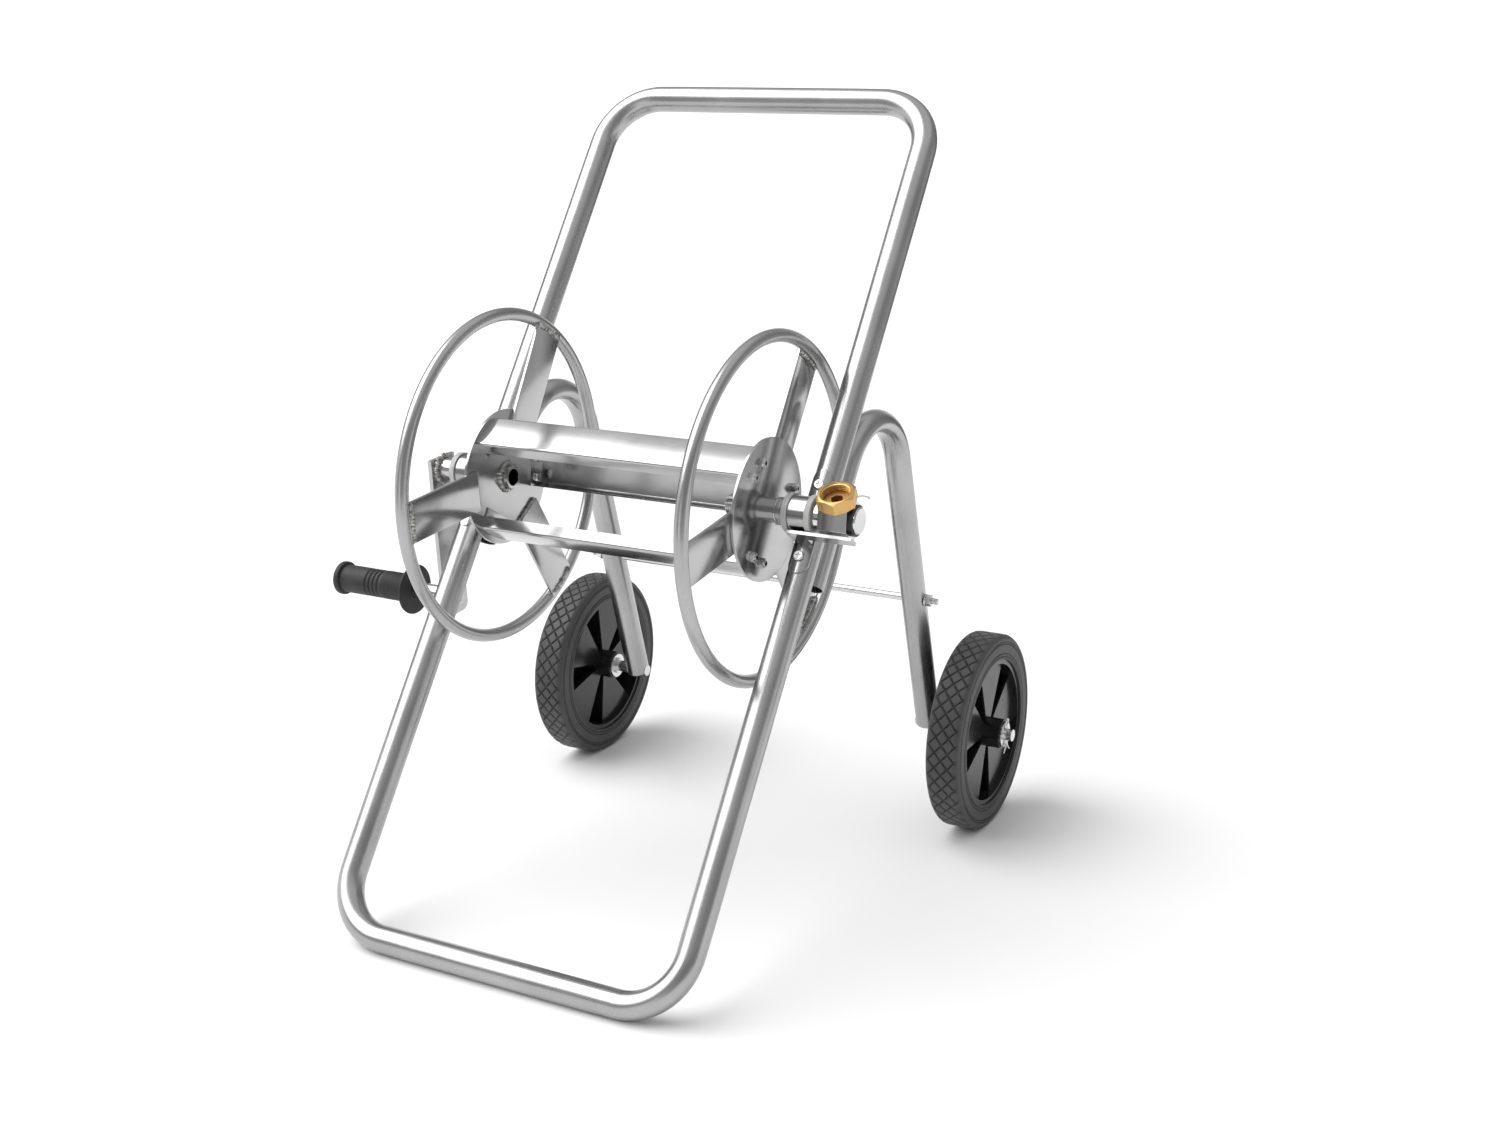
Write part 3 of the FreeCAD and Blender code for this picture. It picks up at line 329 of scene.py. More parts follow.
# ---- Legs ------------------------------------------------------------------------------------
# The same tube bent to a hook behind each side of the loop.  The tight bend has crushed its inner
# side flat, with a crease down each flank; the foot is sawn off square under the axle.
LEG_TILT = math.radians(17.3)
LEG_BEND = 64.6 * MM
LEG_START = 386.0 * MM
LEG_BEHIND = 24.4 * MM
LEG_FOOT = 1.0 * MM
LEG_CRUSH = 0.30                  # share of the radius lost on the inside of the bend
CREASE = 0.055                    # depth of the crease beside the flattened stretch
CREASE_TURN = 0.95                # its place, in radians from the inside of the bend
CREASE_SPREAD = 0.16
FLANK_BULGE = 0.05
CRUSH_REACH = 0.062               # half length of the crushed stretch
LEG_COLUMNS = 64
LEG_BEND_STEPS = 90
leg_up = np.array([0, -math.sin(LEG_TILT), math.cos(LEG_TILT)])


def lumps(theta_share, count, seed):
    """A smooth random curve from a few sine waves, between about -1 and 1."""
    random = np.random.default_rng(seed)
    waves = [random.uniform(0.4, 1.0) * np.sin(TAU * (k * theta_share + random.random()))
             for k in range(1, count + 1)]
    return sum(waves) / math.sqrt(count)


def leg_path(x):
    """Centreline points of a leg and how far each one is into the bend, 0 to 1."""
    axle = centre("left_axle_stub") * (0, 1, 1)
    front = loop_foot * (0, 1, 1) + loop_up * LEG_START - loop_off * LEG_BEHIND
    foot = axle - leg_up * LEG_FOOT
    gap = foot - front
    spread = loop_up[1] * leg_up[2] - loop_up[2] * leg_up[1]
    corner = front + loop_up * (gap[1] * leg_up[2] - gap[2] * leg_up[1]) / spread
    bend = fillet(front, corner, foot, LEG_BEND, LEG_BEND_STEPS)
    before = np.vstack([front, line(front, bend[0], 0.003)])
    after = np.vstack([line(bend[-1], foot, 0.003), foot])
    path = np.vstack([before, bend, after]) + (x, 0, 0)
    along = arc_lengths(path, False)
    middle = along[len(before) + LEG_BEND_STEPS // 2]
    return path, np.exp(-((along - middle) / CRUSH_REACH) ** 4)


def leg_mesh(side, name):
    """Outer wall, foot ring and inner wall of a leg as one closed sheet.  The radius drops on the
    inside of the bend to a flat, with a narrow valley where the flat meets each flank."""
    path, depth = leg_path(centre(name + "_leg")[0])
    around = np.linspace(0, TAU, LEG_COLUMNS, endpoint=False)
    from_inside = np.abs(np.angle(-np.exp(1j * around)))
    flat = np.clip(-np.cos(around), 0, 1) ** 1.5
    valley = np.exp(-((from_inside - CREASE_TURN) / CREASE_SPREAD) ** 2)
    bulge = np.clip(np.abs(np.sin(around)), 0, 1) ** 3
    ripple = 1 + 0.25 * lumps(np.linspace(0, 1, len(path)), 6, 3 + side)[:, None]
    dent = 1 - depth[:, None] * (LEG_CRUSH * flat + CREASE * ripple * valley - FLANK_BULGE * bulge)
    normal = np.array([1.0, 0, 0])
    outer = tube_rings(path, normal, TUBE_R, False, LEG_COLUMNS, dent)
    hollow = tube_rings(path, normal, TUBE_R - TUBE_WALL, False, LEG_COLUMNS, dent)[::-1]
    points = np.vstack([outer, hollow])
    along = arc_lengths(path, False)
    u = np.concatenate([along, along[::-1], along[:1]])
    girth = np.arange(LEG_COLUMNS + 1) * TAU * TUBE_R / LEG_COLUMNS
    return grid_mesh(name, points, True, True, (u, girth))


for side, name in ((-1, "left"), (1, "right")):
    add_piece(name + "_leg_tube", [leg_mesh(side, name)], TUBE_STEEL, "frame", [name + "_leg"])


# ---- Welds -----------------------------------------------------------------------------------
# Hand-laid arc beads: overlapping lens-shaped lumps along each joint, rougher and a little darker
# than the tube round them, with a straw tint from the heat.
def weld_metal():
    """Rippled weld: patchy grey to straw metal, dull in the valleys."""
    material, tree, shader = new_material("weld_bead")
    patch = noise(tree, mapped(tree, (1, 1, 1)), 260.0, 4.0)
    tint = ramp(tree, patch, [(0.3, (0.20, 0.19, 0.18)), (0.5, (0.46, 0.45, 0.43)),
                              (0.75, (0.70, 0.69, 0.68))])
    tree.links.new(tint, shader.inputs["Base Color"])
    gloss = ramp(tree, patch, [(0.2, 0.48), (0.8, 0.20)])
    tree.links.new(gloss, shader.inputs["Roughness"])
    fine = noise(tree, mapped(tree, (1, 1, 1)), 900.0, 3.0)
    bump = add_node(tree, "ShaderNodeBump", {"Height": fine, "Strength": 0.35, "Distance": 0.0003})
    tree.links.new(bump.outputs[0], shader.inputs["Normal"])
    shader.inputs["Metallic"].default_value = 1.0
    return material


def bead_mesh(path, normal, radius, closed, seed):
    """A tube whose radius follows rectified sine lumps with random heights; open ends taper off."""
    random = np.random.default_rng(seed)
    along = arc_lengths(path, closed)[:len(path)]
    pitch = 1.5 * radius
    lump = (along / pitch).astype(int)
    height = random.uniform(0.75, 1.2, lump.max() + 2)
    swell = 0.72 + 0.38 * np.abs(np.sin(math.pi * along / pitch))
    size = swell * (height[lump] * 0.5 + 0.5)
    if not closed:
        ends = np.minimum(along, along[-1] - along) / (1.2 * radius)
        size = size * np.sqrt(np.clip(ends, 0.0004, 1) * (2 - np.clip(ends, 0.0004, 1)))
    wobble = 1 + 0.12 * random.standard_normal((len(path), 10))
    rings = tube_rings(path, normal, radius, closed, 10, size[:, None] * wobble)
    if not closed:
        first, last = (np.broadcast_to(path[k], (1, 10, 3)) for k in (0, -1))
        rings = np.vstack([first, rings, last])
    return merged(grid_mesh("bead", rings, closed, True))


WELD = weld_metal()
X_WAY = np.array([1.0, 0, 0])
beads = []
for side, name in ((-1, "left"), (1, "right")):
    leg_x = centre(name + "_leg")[0]
    joint = loop_foot + loop_up * LEG_START - loop_off * TUBE_R
    joint[0] = leg_x
    for run in (6 * MM, 96 * MM):
        for flank in (-1, 1):
            start = joint + loop_up * run + X_WAY * flank * 4.5 * MM
            beads.append(bead_mesh(np.vstack([start, line(start, start + loop_up * 34 * MM, 0.0005)]),
                                   X_WAY, 2.2 * MM, False, 20 + int(run * 1000) + flank + side))
    for flank in (-1, 1):
        seam = centre(name + "_axle_stub") * (0, 1, 1) + (leg_x, flank * 6.4 * MM, -0.6 * MM)
        ends = X_WAY * 9.5 * MM
        beads.append(bead_mesh(line(seam - ends, seam + ends, 0.0005), np.array([0, 0, 1.0]), 1.7 * MM, False,
                               5 + side + 3 * flank))
add_piece("frame_welds", beads, WELD, "frame", sharp=60)


# ---- Wheels ----------------------------------------------------------------------------------
# Solid rubber tyres with a diamond block tread and ringed side walls, on gloss black moulded
# centres.  Each turns on a plain steel stub between two washers, held by a split pin.
def tyre_rubber():
    """Charcoal rubber with a dusty mottle and a fine moulded grain; the grooves are painted darker than the
    block tops as painted shade.
    """
    material, tree, shader = new_material("tyre_rubber")
    dust = noise(tree, mapped(tree, (1, 1, 1)), 30.0, 5.0)
    grain = noise(tree, mapped(tree, (1, 1, 1)), 1500.0, 2.0)
    raised = add_node(tree, "ShaderNodeAttribute", attribute_name="raised").outputs["Fac"]
    # The grooves take a darker tint than the block tops: painted shade in the recesses, mottled by the dust
    # noise.
    painted_groove_shade = ramp(tree, dust, [(0.3, (0.020, 0.020, 0.021)), (0.7, (0.034, 0.034, 0.035))])
    block_top_tint = ramp(tree, dust, [(0.3, (0.046, 0.046, 0.047)), (0.7, (0.068, 0.068, 0.069))])
    tint = add_node(tree, "ShaderNodeMixRGB", {0: raised, 1: painted_groove_shade, 2: block_top_tint}).outputs[0]
    tree.links.new(tint, shader.inputs["Base Color"])
    gloss = ramp(tree, dust, [(0.2, 0.46), (0.8, 0.62)])
    tree.links.new(gloss, shader.inputs["Roughness"])
    bump = add_node(tree, "ShaderNodeBump", {"Height": grain, "Strength": 0.25, "Distance": 0.0002})
    tree.links.new(bump.outputs[0], shader.inputs["Normal"])
    return material


TYRE_R = 100.0 * MM
TYRE_HALF = 17.5 * MM
TYRE_STEPS = 720
TYRE_SEAT = 75.0 * MM
SHOULDER = 6.0 * MM
TREAD_DEPTH = 1.3 * MM
TREAD_GROOVE = 1.5 * MM
TREAD_BLOCKS = 40                 # diamonds round the tyre
TREAD_PITCH = 13.6 * MM           # diamonds across it
SIDE_GROOVES = (77.6 * MM, 80.6 * MM, 90.4 * MM, 92.6 * MM)
SIDE_GROOVE = 0.6 * MM
PIN_WIRE_R = 0.8 * MM
WIRE_COLUMNS = 12
PIN_HEIGHTS = np.array([17, 15.5, 12.5, 10.5, 0, -8.5, -13.0, -18.0]) * MM
PIN_SPREADS = np.array([0, 2.6, 2.4, 0.8, 0.75, 0.75, 2.6, 8.0]) * MM


def smooth_step(low, high, value):
    """0 below low and 1 above high, by three t squared less two t cubed."""
    t = np.clip((value - low) / (high - low), 0, 1)
    return t * t * (3 - 2 * t)


def tyre_mesh(middle):
    """A closed section turned round the axle: seat, two side walls with ring grooves, rounded
    shoulders and a tread, where two crossing families of slanted lines are sunk between blocks."""
    theta = np.linspace(0, TAU, TYRE_STEPS, endpoint=False)
    near = np.array([-1.1, -0.7, -0.35, 0, 0.35, 0.7, 1.1]) * SIDE_GROOVE
    wall = np.sort(np.concatenate([np.linspace(TYRE_SEAT, TYRE_R - SHOULDER - 0.4 * MM, 12)]
                                  + [place + near for place in SIDE_GROOVES]))
    bow = np.linspace(0, math.pi / 2, 9)
    flat = np.linspace(-(TYRE_HALF - SHOULDER), TYRE_HALF - SHOULDER, 34)[1:-1]
    x = np.concatenate([np.full(len(wall), -TYRE_HALF), SHOULDER - TYRE_HALF - SHOULDER * np.cos(bow), flat,
                        TYRE_HALF - SHOULDER + SHOULDER * np.sin(bow), np.full(len(wall), TYRE_HALF)])
    r = np.concatenate([wall, TYRE_R - SHOULDER + SHOULDER * np.sin(bow), np.full(len(flat), TYRE_R),
                        TYRE_R - SHOULDER + SHOULDER * np.cos(bow), wall[::-1]])
    on_wall = np.concatenate([np.ones(len(wall)), np.zeros(len(bow) * 2 + len(flat)), np.ones(len(wall))])
    ring_cut = np.zeros(len(r))
    for place in SIDE_GROOVES:
        ring_cut = np.maximum(ring_cut, 1 - smooth_step(0.3, 1.0, np.abs(r - place) / SIDE_GROOVE))
    ring_cut = ring_cut * on_wall
    across_tread = x[:, None] / TREAD_PITCH
    round_tread = theta[None] * TREAD_BLOCKS / TAU
    reach = TREAD_PITCH / math.sqrt(2)
    cuts = [np.abs((across_tread + way * round_tread + 0.5) % 1 - 0.5) * reach for way in (-1, 1)]
    line_cut = 1 - smooth_step(0.3, 0.62, np.minimum(*cuts) / TREAD_GROOVE)
    on_tread = smooth_step(TYRE_HALF - 1.2 * MM, TYRE_HALF - 3.4 * MM, np.abs(x)) * (1 - on_wall)
    tread_cut = line_cut * on_tread[:, None]
    radius = r[:, None] - TREAD_DEPTH * tread_cut
    place = x - np.sign(x) * 0.9 * MM * ring_cut
    points = np.stack([np.broadcast_to(middle[0] + place[:, None], radius.shape),
                       middle[1] - radius * np.cos(theta), middle[2] + radius * np.sin(theta)], -1)
    mesh = grid_mesh("tyre", points, True, True)
    # raised is 1 on block tops and side walls and 0 in the tread and ring grooves; the rubber uses it to
    # paint shade into the grooves.
    raised = 1 - np.maximum(tread_cut, np.broadcast_to(ring_cut[:, None], tread_cut.shape))
    layer = mesh.attributes.new("raised", "FLOAT", "POINT")
    layer.data.foreach_set("value", raised.reshape(-1).astype(np.float32))
    return mesh


def gloss_black():
    """Moulded black plastic: shiny, a little wavy, with a faint haze of dust."""
    material, tree, shader = new_material("rim_plastic")
    haze = noise(tree, mapped(tree, (1, 1, 1)), 60.0, 4.0)
    tree.links.new(ramp(tree, haze, [(0.3, (0.010, 0.010, 0.011)), (0.8, (0.022, 0.022, 0.023))]),
                   shader.inputs["Base Color"])
    tree.links.new(ramp(tree, haze, [(0.2, 0.16), (0.8, 0.30)]), shader.inputs["Roughness"])
    bump = add_node(tree, "ShaderNodeBump", {"Height": haze, "Strength": 0.15, "Distance": 0.0006})
    tree.links.new(bump.outputs[0], shader.inputs["Normal"])
    shader.inputs["IOR"].default_value = 1.5
    return material


def pin_mesh(name, side):
    """A split pin of half-round wire: an eye above the stub, a doubled shank through it and two
    ends splayed apart below; each wire is a tube along a smooth curve."""
    low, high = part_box("split_pins")
    x = (low.x if side < 0 else high.x) - side * 1.6 * MM
    hub = centre(name + "_axle_stub")
    meshes = []
    for way in (-1, 1):
        t = np.linspace(0, 1, 60)
        knots = np.linspace(0, 1, len(PIN_HEIGHTS))
        y = np.interp(t, knots, PIN_SPREADS * way)
        z = np.interp(t, knots, PIN_HEIGHTS)
        kernel = np.ones(5) / 5
        y[2:-2] = np.convolve(y, kernel, "valid")
        z[2:-2] = np.convolve(z, kernel, "valid")
        path = np.stack([np.full(len(t), x), hub[1] + y, hub[2] + z], 1)
        size = np.ones((len(t), WIRE_COLUMNS))
        size[[0, -1]] = 0
        wire = tube_rings(path, X_WAY, PIN_WIRE_R, False, WIRE_COLUMNS, size)
        meshes.append(merged(grid_mesh("wire", wire, False, True)))
    return meshes


def cad_finish(material, *nodes):
    """Gives CAD nodes a finish, in place of the one that they were packed with."""
    for node in nodes:
        slots = frame["nodes"][node].data.materials
        slots.clear()
        slots.append(material)


def bright_metal(name, tint, gloss, wave=0.0, grain=300.0, edge=0.0):
    """A metal finish: tint varies in soft patches, gloss between two values, broad waves in the
    reflections, and a fine grain; edge softens the corners of plain CAD solids."""
    material, tree, shader = new_material(name)
    patch = noise(tree, mapped(tree, (1, 1, 1)), 22.0, 4.0)
    fine = noise(tree, mapped(tree, (1, 1, 1)), grain, 3.0)
    dark = tuple(c * 0.88 for c in tint)
    tree.links.new(ramp(tree, patch, [(0.3, dark), (0.7, tint)]), shader.inputs["Base Color"])
    tree.links.new(ramp(tree, fine, [(0.25, gloss[0]), (0.75, gloss[1])]), shader.inputs["Roughness"])
    swell = noise(tree, mapped(tree, (1, 1, 1)), 11.0, 1.0)
    first = add_node(tree, "ShaderNodeBump", {"Height": swell, "Strength": 1.0, "Distance": wave})
    if edge:
        soft_edge = add_node(tree, "ShaderNodeBevel", {"Radius": edge}, samples=8)
        tree.links.new(soft_edge.outputs[0], first.inputs["Normal"])
    second = add_node(tree, "ShaderNodeBump", {"Height": fine, "Strength": 0.03, "Distance": 0.0002,
                                               "Normal": first.outputs[0]})
    tree.links.new(second.outputs[0], shader.inputs["Normal"])
    shader.inputs["Metallic"].default_value = 1.0
    return material


TYRE = tyre_rubber()
RIM = gloss_black()
ZINC = bright_metal("zinc_plate", (0.76, 0.76, 0.765), (0.16, 0.34), 0.0, 500.0, 0.3 * MM)
for name in ("left", "right"):
    tyre = tyre_mesh(centre(name + "_tyre"))
    add_piece(name + "_tread_tyre", [tyre], TYRE, name + "_wheel", [name + "_tyre"])
pins = pin_mesh("left", -1) + pin_mesh("right", 1)
add_piece("wire_pins", pins, ZINC, "frame", ["split_pins"])
cad_finish(RIM, "left_rim", "right_rim")
cad_finish(ZINC, "wheel_washers", "left_axle_stub", "right_axle_stub")


# ---- Nuts, tie rod and threads ---------------------------------------------------------------
# Zinc-plated fasteners.  The tie rod is 8 mm bar with threaded ends that holds the legs apart;
# every nut is a chamfered hexagon with the end of its screw standing through it.
TURN_STEPS = 96
CAP_R = 1e-5                       # radius of the tiny hole in a cap, in metres


def turned_mesh(name, along, radius, origin, axis, first, steps=TURN_STEPS):
    """A closed section turned round an axis: along and radius are (rows, steps or 1) arrays."""
    axis = np.asarray(axis, float) / np.linalg.norm(axis)
    u = np.asarray(first, float)
    u = u - axis * (u @ axis)
    u = u / np.linalg.norm(u)
    v = np.cross(axis, u)
    theta = np.linspace(0, TAU, steps, endpoint=False)
    along = np.broadcast_to(np.asarray(along, float).reshape(len(along), -1), (len(along), steps))
    radius = np.broadcast_to(np.asarray(radius, float).reshape(len(radius), -1), (len(radius), steps))
    points = (origin + along[..., None] * axis + (radius * np.cos(theta))[..., None] * u
              + (radius * np.sin(theta))[..., None] * v)
    return grid_mesh(name, points, True, True)


def hexagon_radius(flats, steps=TURN_STEPS):
    """Distance from the middle to a hexagon's edge, by angle from a corner."""
    theta = np.linspace(0, TAU, steps, endpoint=False)
    return flats / 2 / np.cos(theta % (math.pi / 3) - math.pi / 6)


def nut_mesh(origin, axis, corner, flats, height, bore):
    """A hexagon nut: flat sides cut by a 30 degree cone at both faces, a round chamfered bore."""
    edge = hexagon_radius(flats)
    drop = (edge - flats / 2 * 0.97) * math.tan(math.radians(30))
    flat_r = np.full_like(edge, flats / 2 * 0.97)
    lip = 0.08 * bore
    rows = [(0 * edge, flat_r), (drop, edge), (height - drop, edge), (height + 0 * edge, flat_r),
            (height + 0 * edge, 0 * edge + bore / 2 + lip), (height - lip + 0 * edge, 0 * edge + bore / 2),
            (lip + 0 * edge, 0 * edge + bore / 2), (0 * edge, 0 * edge + bore / 2 + lip)]
    return turned_mesh("nut", [a for a, _ in rows], [r for _, r in rows], origin, axis, corner)


def thread_wave(along, pitch, steps=TURN_STEPS):
    """0 at the root and 1 at the crest of a screw thread, for (rows, steps) points."""
    theta = np.linspace(0, 1, steps, endpoint=False)
    share = (np.asarray(along)[:, None] / pitch - theta[None]) % 1
    return np.clip(1.5 - np.abs(share - 0.5) * 4, 0, 1)


def screw_end(origin, axis, diameter, length, pitch):
    """A stub of screw thread with a chamfered tip, closed by small caps at both ends."""
    along = np.linspace(0, length, max(8, int(length / pitch * 8)))
    depth = 0.12 * diameter
    taper = np.clip((length - along) / depth, 0, 1)[:, None]
    radius = diameter / 2 - depth * np.maximum(1 - thread_wave(along, pitch), 1 - taper)
    along = np.concatenate([[0], along, [length]])
    cap = np.full((1, TURN_STEPS), CAP_R)
    return turned_mesh("thread", along, np.vstack([cap, radius, cap]), origin, axis, (0, 0, 1))


TIE_R = 4.0 * MM
TIE_THREAD_R = 3.0 * MM
TIE_THREAD = 13.6 * MM
TIE_NUT = 5.0 * MM
TIE_NUT_FLATS = 10 * MM
TIE_PITCH = 1.0 * MM
low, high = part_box("tie_rod")
tie_y, tie_z = centre("tie_rod")[1:]
rod_along = np.array([low.x + TIE_THREAD] * 2 + [high.x - TIE_THREAD] * 2)[:, None]
rod_radius = np.array([[CAP_R], [TIE_R * 0.97], [TIE_R * 0.97], [CAP_R]])
tie = [turned_mesh("rod", rod_along, rod_radius, np.array([0, tie_y, tie_z]), X_WAY, (0, 0, 1))]
for way, end in ((-1, low.x), (1, high.x)):
    tie.append(screw_end(np.array([end - way * TIE_THREAD, tie_y, tie_z]), way * X_WAY, 2 * TIE_THREAD_R,
                          TIE_THREAD, TIE_PITCH))
add_piece("threaded_tie", tie, ZINC, "frame", ["tie_rod"])
low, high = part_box("tie_nuts")
nuts = [nut_mesh(np.array([x - way * TIE_NUT, tie_y, tie_z]), way * X_WAY, (0, way * 0.3, 1), TIE_NUT_FLATS,
                 TIE_NUT, 2 * TIE_THREAD_R)
        for way, x in ((-1, low.x), (1, high.x))]
add_piece("chamfered_tie_nuts", nuts, ZINC, "frame", ["tie_nuts"])
cad_finish(ZINC, "tie_washers")


# ---- Bearings --------------------------------------------------------------------------------
# A flanged plastic bush stands on each side tube and a bright sheet strap holds it down with two
# pan-head screws.
def pale_plastic():
    """Pale grey nylon with a soft satin skin."""
    material, tree, shader = new_material("bush_nylon")
    cloud = noise(tree, mapped(tree, (1, 1, 1)), 90.0, 3.0)
    tree.links.new(ramp(tree, cloud, [(0.3, (0.42, 0.42, 0.415)), (0.7, (0.52, 0.52, 0.515))]),
                   shader.inputs["Base Color"])
    tree.links.new(ramp(tree, cloud, [(0.2, 0.28), (0.8, 0.40)]), shader.inputs["Roughness"])
    return material


NYLON = pale_plastic()
SHEET = bright_metal("polished_sheet", (0.50, 0.50, 0.503), (0.15, 0.19), 0.0004, 90.0, 0.35 * MM)
cad_finish(NYLON, "left_bearing_bush", "right_bearing_bush")
STRAP = bright_metal("pressed_strap", (0.40, 0.40, 0.403), (0.16, 0.24), 0.0006, 120.0, 0.4 * MM)
cad_finish(STRAP, "left_bearing_strap", "right_bearing_strap")
cad_finish(ZINC, "strap_screws")


# ---- Drum ------------------------------------------------------------------------------------
# Two polished discs joined by three folded channels, each disc carrying a tube ring on three flat
# spokes.  Discs and spokes are laser-cut sheet, the ring is 12 mm tube; spokes are welded.
DISC_R = 63.5 * MM
DISC_T = 3.0 * MM
DISC_BORE_R = 10.6 * MM
RING_R = 150.75 * MM
RING_TUBE = 6.1 * MM
SPOKE_HALF = 19.0 * MM
SPOKE_T = 3.0 * MM
SPOKE_START = 48.0 * MM
SPOKE_TURNS = {-1: (-4.8, 119.8, 236.4), 1: (-8.0, 124.3, 233.7)}
EDGE = 0.45 * MM
reel_y, reel_z = centre("crank_shaft")[1:]


def circle_path(middle, radius, start, end, steps, closed=False):
    """Points on a circle in the YZ plane; angles turn up from straight ahead."""
    t = np.radians(np.linspace(start, end, steps, endpoint=not closed))[:, None]
    return middle + radius * np.concatenate([0 * t, -np.cos(t), np.sin(t)], 1)


def plate_mesh(corner, wide, long, thick, edge=EDGE):
    """A flat bar with its four long edges rounded, swept from one end to the other."""
    w, t = np.linalg.norm(wide), np.linalg.norm(thick)
    bow = np.linspace(0, math.pi / 2, 4)
    outline = []
    for cx, cy, start in ((w - edge, t - edge, 0), (edge, t - edge, 1), (edge, edge, 2), (w - edge, edge, 3)):
        a = bow + start * math.pi / 2
        outline.append(np.stack([cx + edge * np.cos(a), cy + edge * np.sin(a)], 1))
    outline = np.vstack(outline)
    section = outline[:, :1] * wide / w + outline[:, 1:] * thick / t
    middle = (wide + thick) / 2
    inset = middle + (section - middle) * (1 - 2 * edge / w)
    n = np.linalg.norm(long)
    stations = [(edge * 0, inset * 0 + middle), (0, inset), (edge / n, section), (1 - edge / n, section),
                (1, inset), (1, inset * 0 + middle)]
    points = np.stack([corner + long * f + s for f, s in stations])
    return merged(grid_mesh("bar", points, False, True))


def outward(turn):
    """Direction away from the reel's axis, turned up from straight ahead, and the way across it."""
    out = np.array([0, -math.cos(math.radians(turn)), math.sin(math.radians(turn))])
    return out, np.cross(X_WAY, out)


drum_welds = []
for side, name in ((-1, "left"), (1, "right")):
    disc = centre(name + "_disc")
    bow = np.linspace(-math.pi / 2, math.pi / 2, 7)
    along = np.concatenate([[-DISC_T / 2], -DISC_T / 2 + EDGE + EDGE * np.sin(bow[:4]),
                            DISC_T / 2 - EDGE + EDGE * np.sin(bow[3:]), [DISC_T / 2]])
    radius = np.concatenate([[DISC_BORE_R], DISC_R - EDGE + EDGE * np.cos(bow[:4]),
                             DISC_R - EDGE + EDGE * np.cos(bow[3:]), [DISC_BORE_R]])
    plate = turned_mesh("disc", along[:, None], radius[:, None], disc, X_WAY, (0, 0, 1), 160)
    add_piece(name + "_polished_disc", [plate], SHEET, "reel", [name + "_disc"], 30)
    hub = centre(name + "_ring")
    path = circle_path(hub, RING_R, 0, 360, 220, True)
    ring_mesh = grid_mesh("ring", tube_rings(path, X_WAY, RING_TUBE, True, 32), True, True,
                          (arc_lengths(path, True), np.arange(33) * TAU * RING_TUBE / 32))
    add_piece(name + "_ring_tube", [ring_mesh], TUBE_STEEL, "reel", [name + "_ring"])
    face_x = disc[0] - side * DISC_T / 2
    for number, turn_up in enumerate(SPOKE_TURNS[side], 1):
        out, along_way = outward(turn_up)
        spoke = "_spoke_" + str(number)
        inner_face = np.array([face_x - side * SPOKE_T, reel_y, reel_z])
        corner = inner_face + out * SPOKE_START - along_way * SPOKE_HALF
        bar = plate_mesh(corner, along_way * 2 * SPOKE_HALF, out * (RING_R - 1.0 * MM - SPOKE_START),
                         X_WAY * side * SPOKE_T)
        add_piece(name + "_flat" + spoke, [bar], SHEET, "reel", [name + spoke], 30)
        half_turn = math.degrees(SPOKE_HALF / RING_R)
        for x, inside in ((face_x - side * SPOKE_T, 4.2 * MM), (face_x, 5.6 * MM)):
            weld_path = circle_path(np.array([x, reel_y, reel_z]), RING_R - inside, turn_up - half_turn,
                                    turn_up + half_turn, 80)
            seed = number * 7 + side + int(inside * 1e4)
            drum_welds.append(bead_mesh(weld_path, X_WAY, 2.2 * MM, False, seed))
        end = np.array([face_x - side * 0.9 * MM, reel_y, reel_z]) + out * (SPOKE_START - 0.8 * MM)
        seam = line(end - along_way * SPOKE_HALF, end + along_way * SPOKE_HALF, 0.0005)
        drum_welds.append(bead_mesh(seam, X_WAY, 1.6 * MM, False, number * 11 + side))
for x, size, grow in ((centre("left_disc")[0] + DISC_T / 2 + 0.6 * MM, 12.3 * MM, 2.4 * MM),
                      (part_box("crank_arm")[1].x + 0.8 * MM, 12.4 * MM, 2.8 * MM),
                      (centre("right_disc")[0] - DISC_T / 2 - 0.6 * MM, 12.0 * MM, 2.0 * MM)):
    ring_path = circle_path(np.array([x, reel_y, reel_z]), size, 0, 360, 150, True)
    drum_welds.append(bead_mesh(ring_path, X_WAY, grow, True, int(x * 1000) % 97))
add_piece("drum_welds", drum_welds, WELD, "reel", sharp=60)


# ---- Channels --------------------------------------------------------------------------------
# Three channels of 1.5 mm sheet folded over a small radius join the discs, and the hose winds on
# them.  A tab bent down at each end is bolted flat to the disc.
SLAT_W = 37.5 * MM
SLAT_T = 1.5 * MM
SLAT_FLANGE = 12.0 * MM
SLAT_FOLD = 2.6 * MM
SLAT_R = 57.0 * MM
SLAT_TAB = 21.0 * MM
SLAT_TAB_W = 33.0 * MM
SLAT_TAB_EDGE = 0.3 * MM


def channel_outline():
    """Outer line of the channel section from one flange's lip to the other, then the inner line
    back: straight runs with quarter-circle folds; the first axis is across, the second outwards."""
    bow = np.linspace(0, math.pi / 2, 8)
    half = SLAT_W / 2
    outer_r, inner_r = SLAT_FOLD, SLAT_FOLD - SLAT_T
    left = np.stack([-half + outer_r - outer_r * np.cos(bow), -outer_r + outer_r * np.sin(bow)], 1)
    outer = np.vstack([[(-half, -SLAT_FLANGE)], left, left[::-1] * (-1, 1), [(half, -SLAT_FLANGE)]])
    hollow = np.stack([-half + outer_r - inner_r * np.cos(bow), -outer_r + inner_r * np.sin(bow)], 1)
    lip = half - SLAT_T
    inner_line = np.vstack([[(-lip, -SLAT_FLANGE)], hollow, hollow[::-1] * (-1, 1), [(lip, -SLAT_FLANGE)]])
    return np.vstack([outer, inner_line[::-1]])


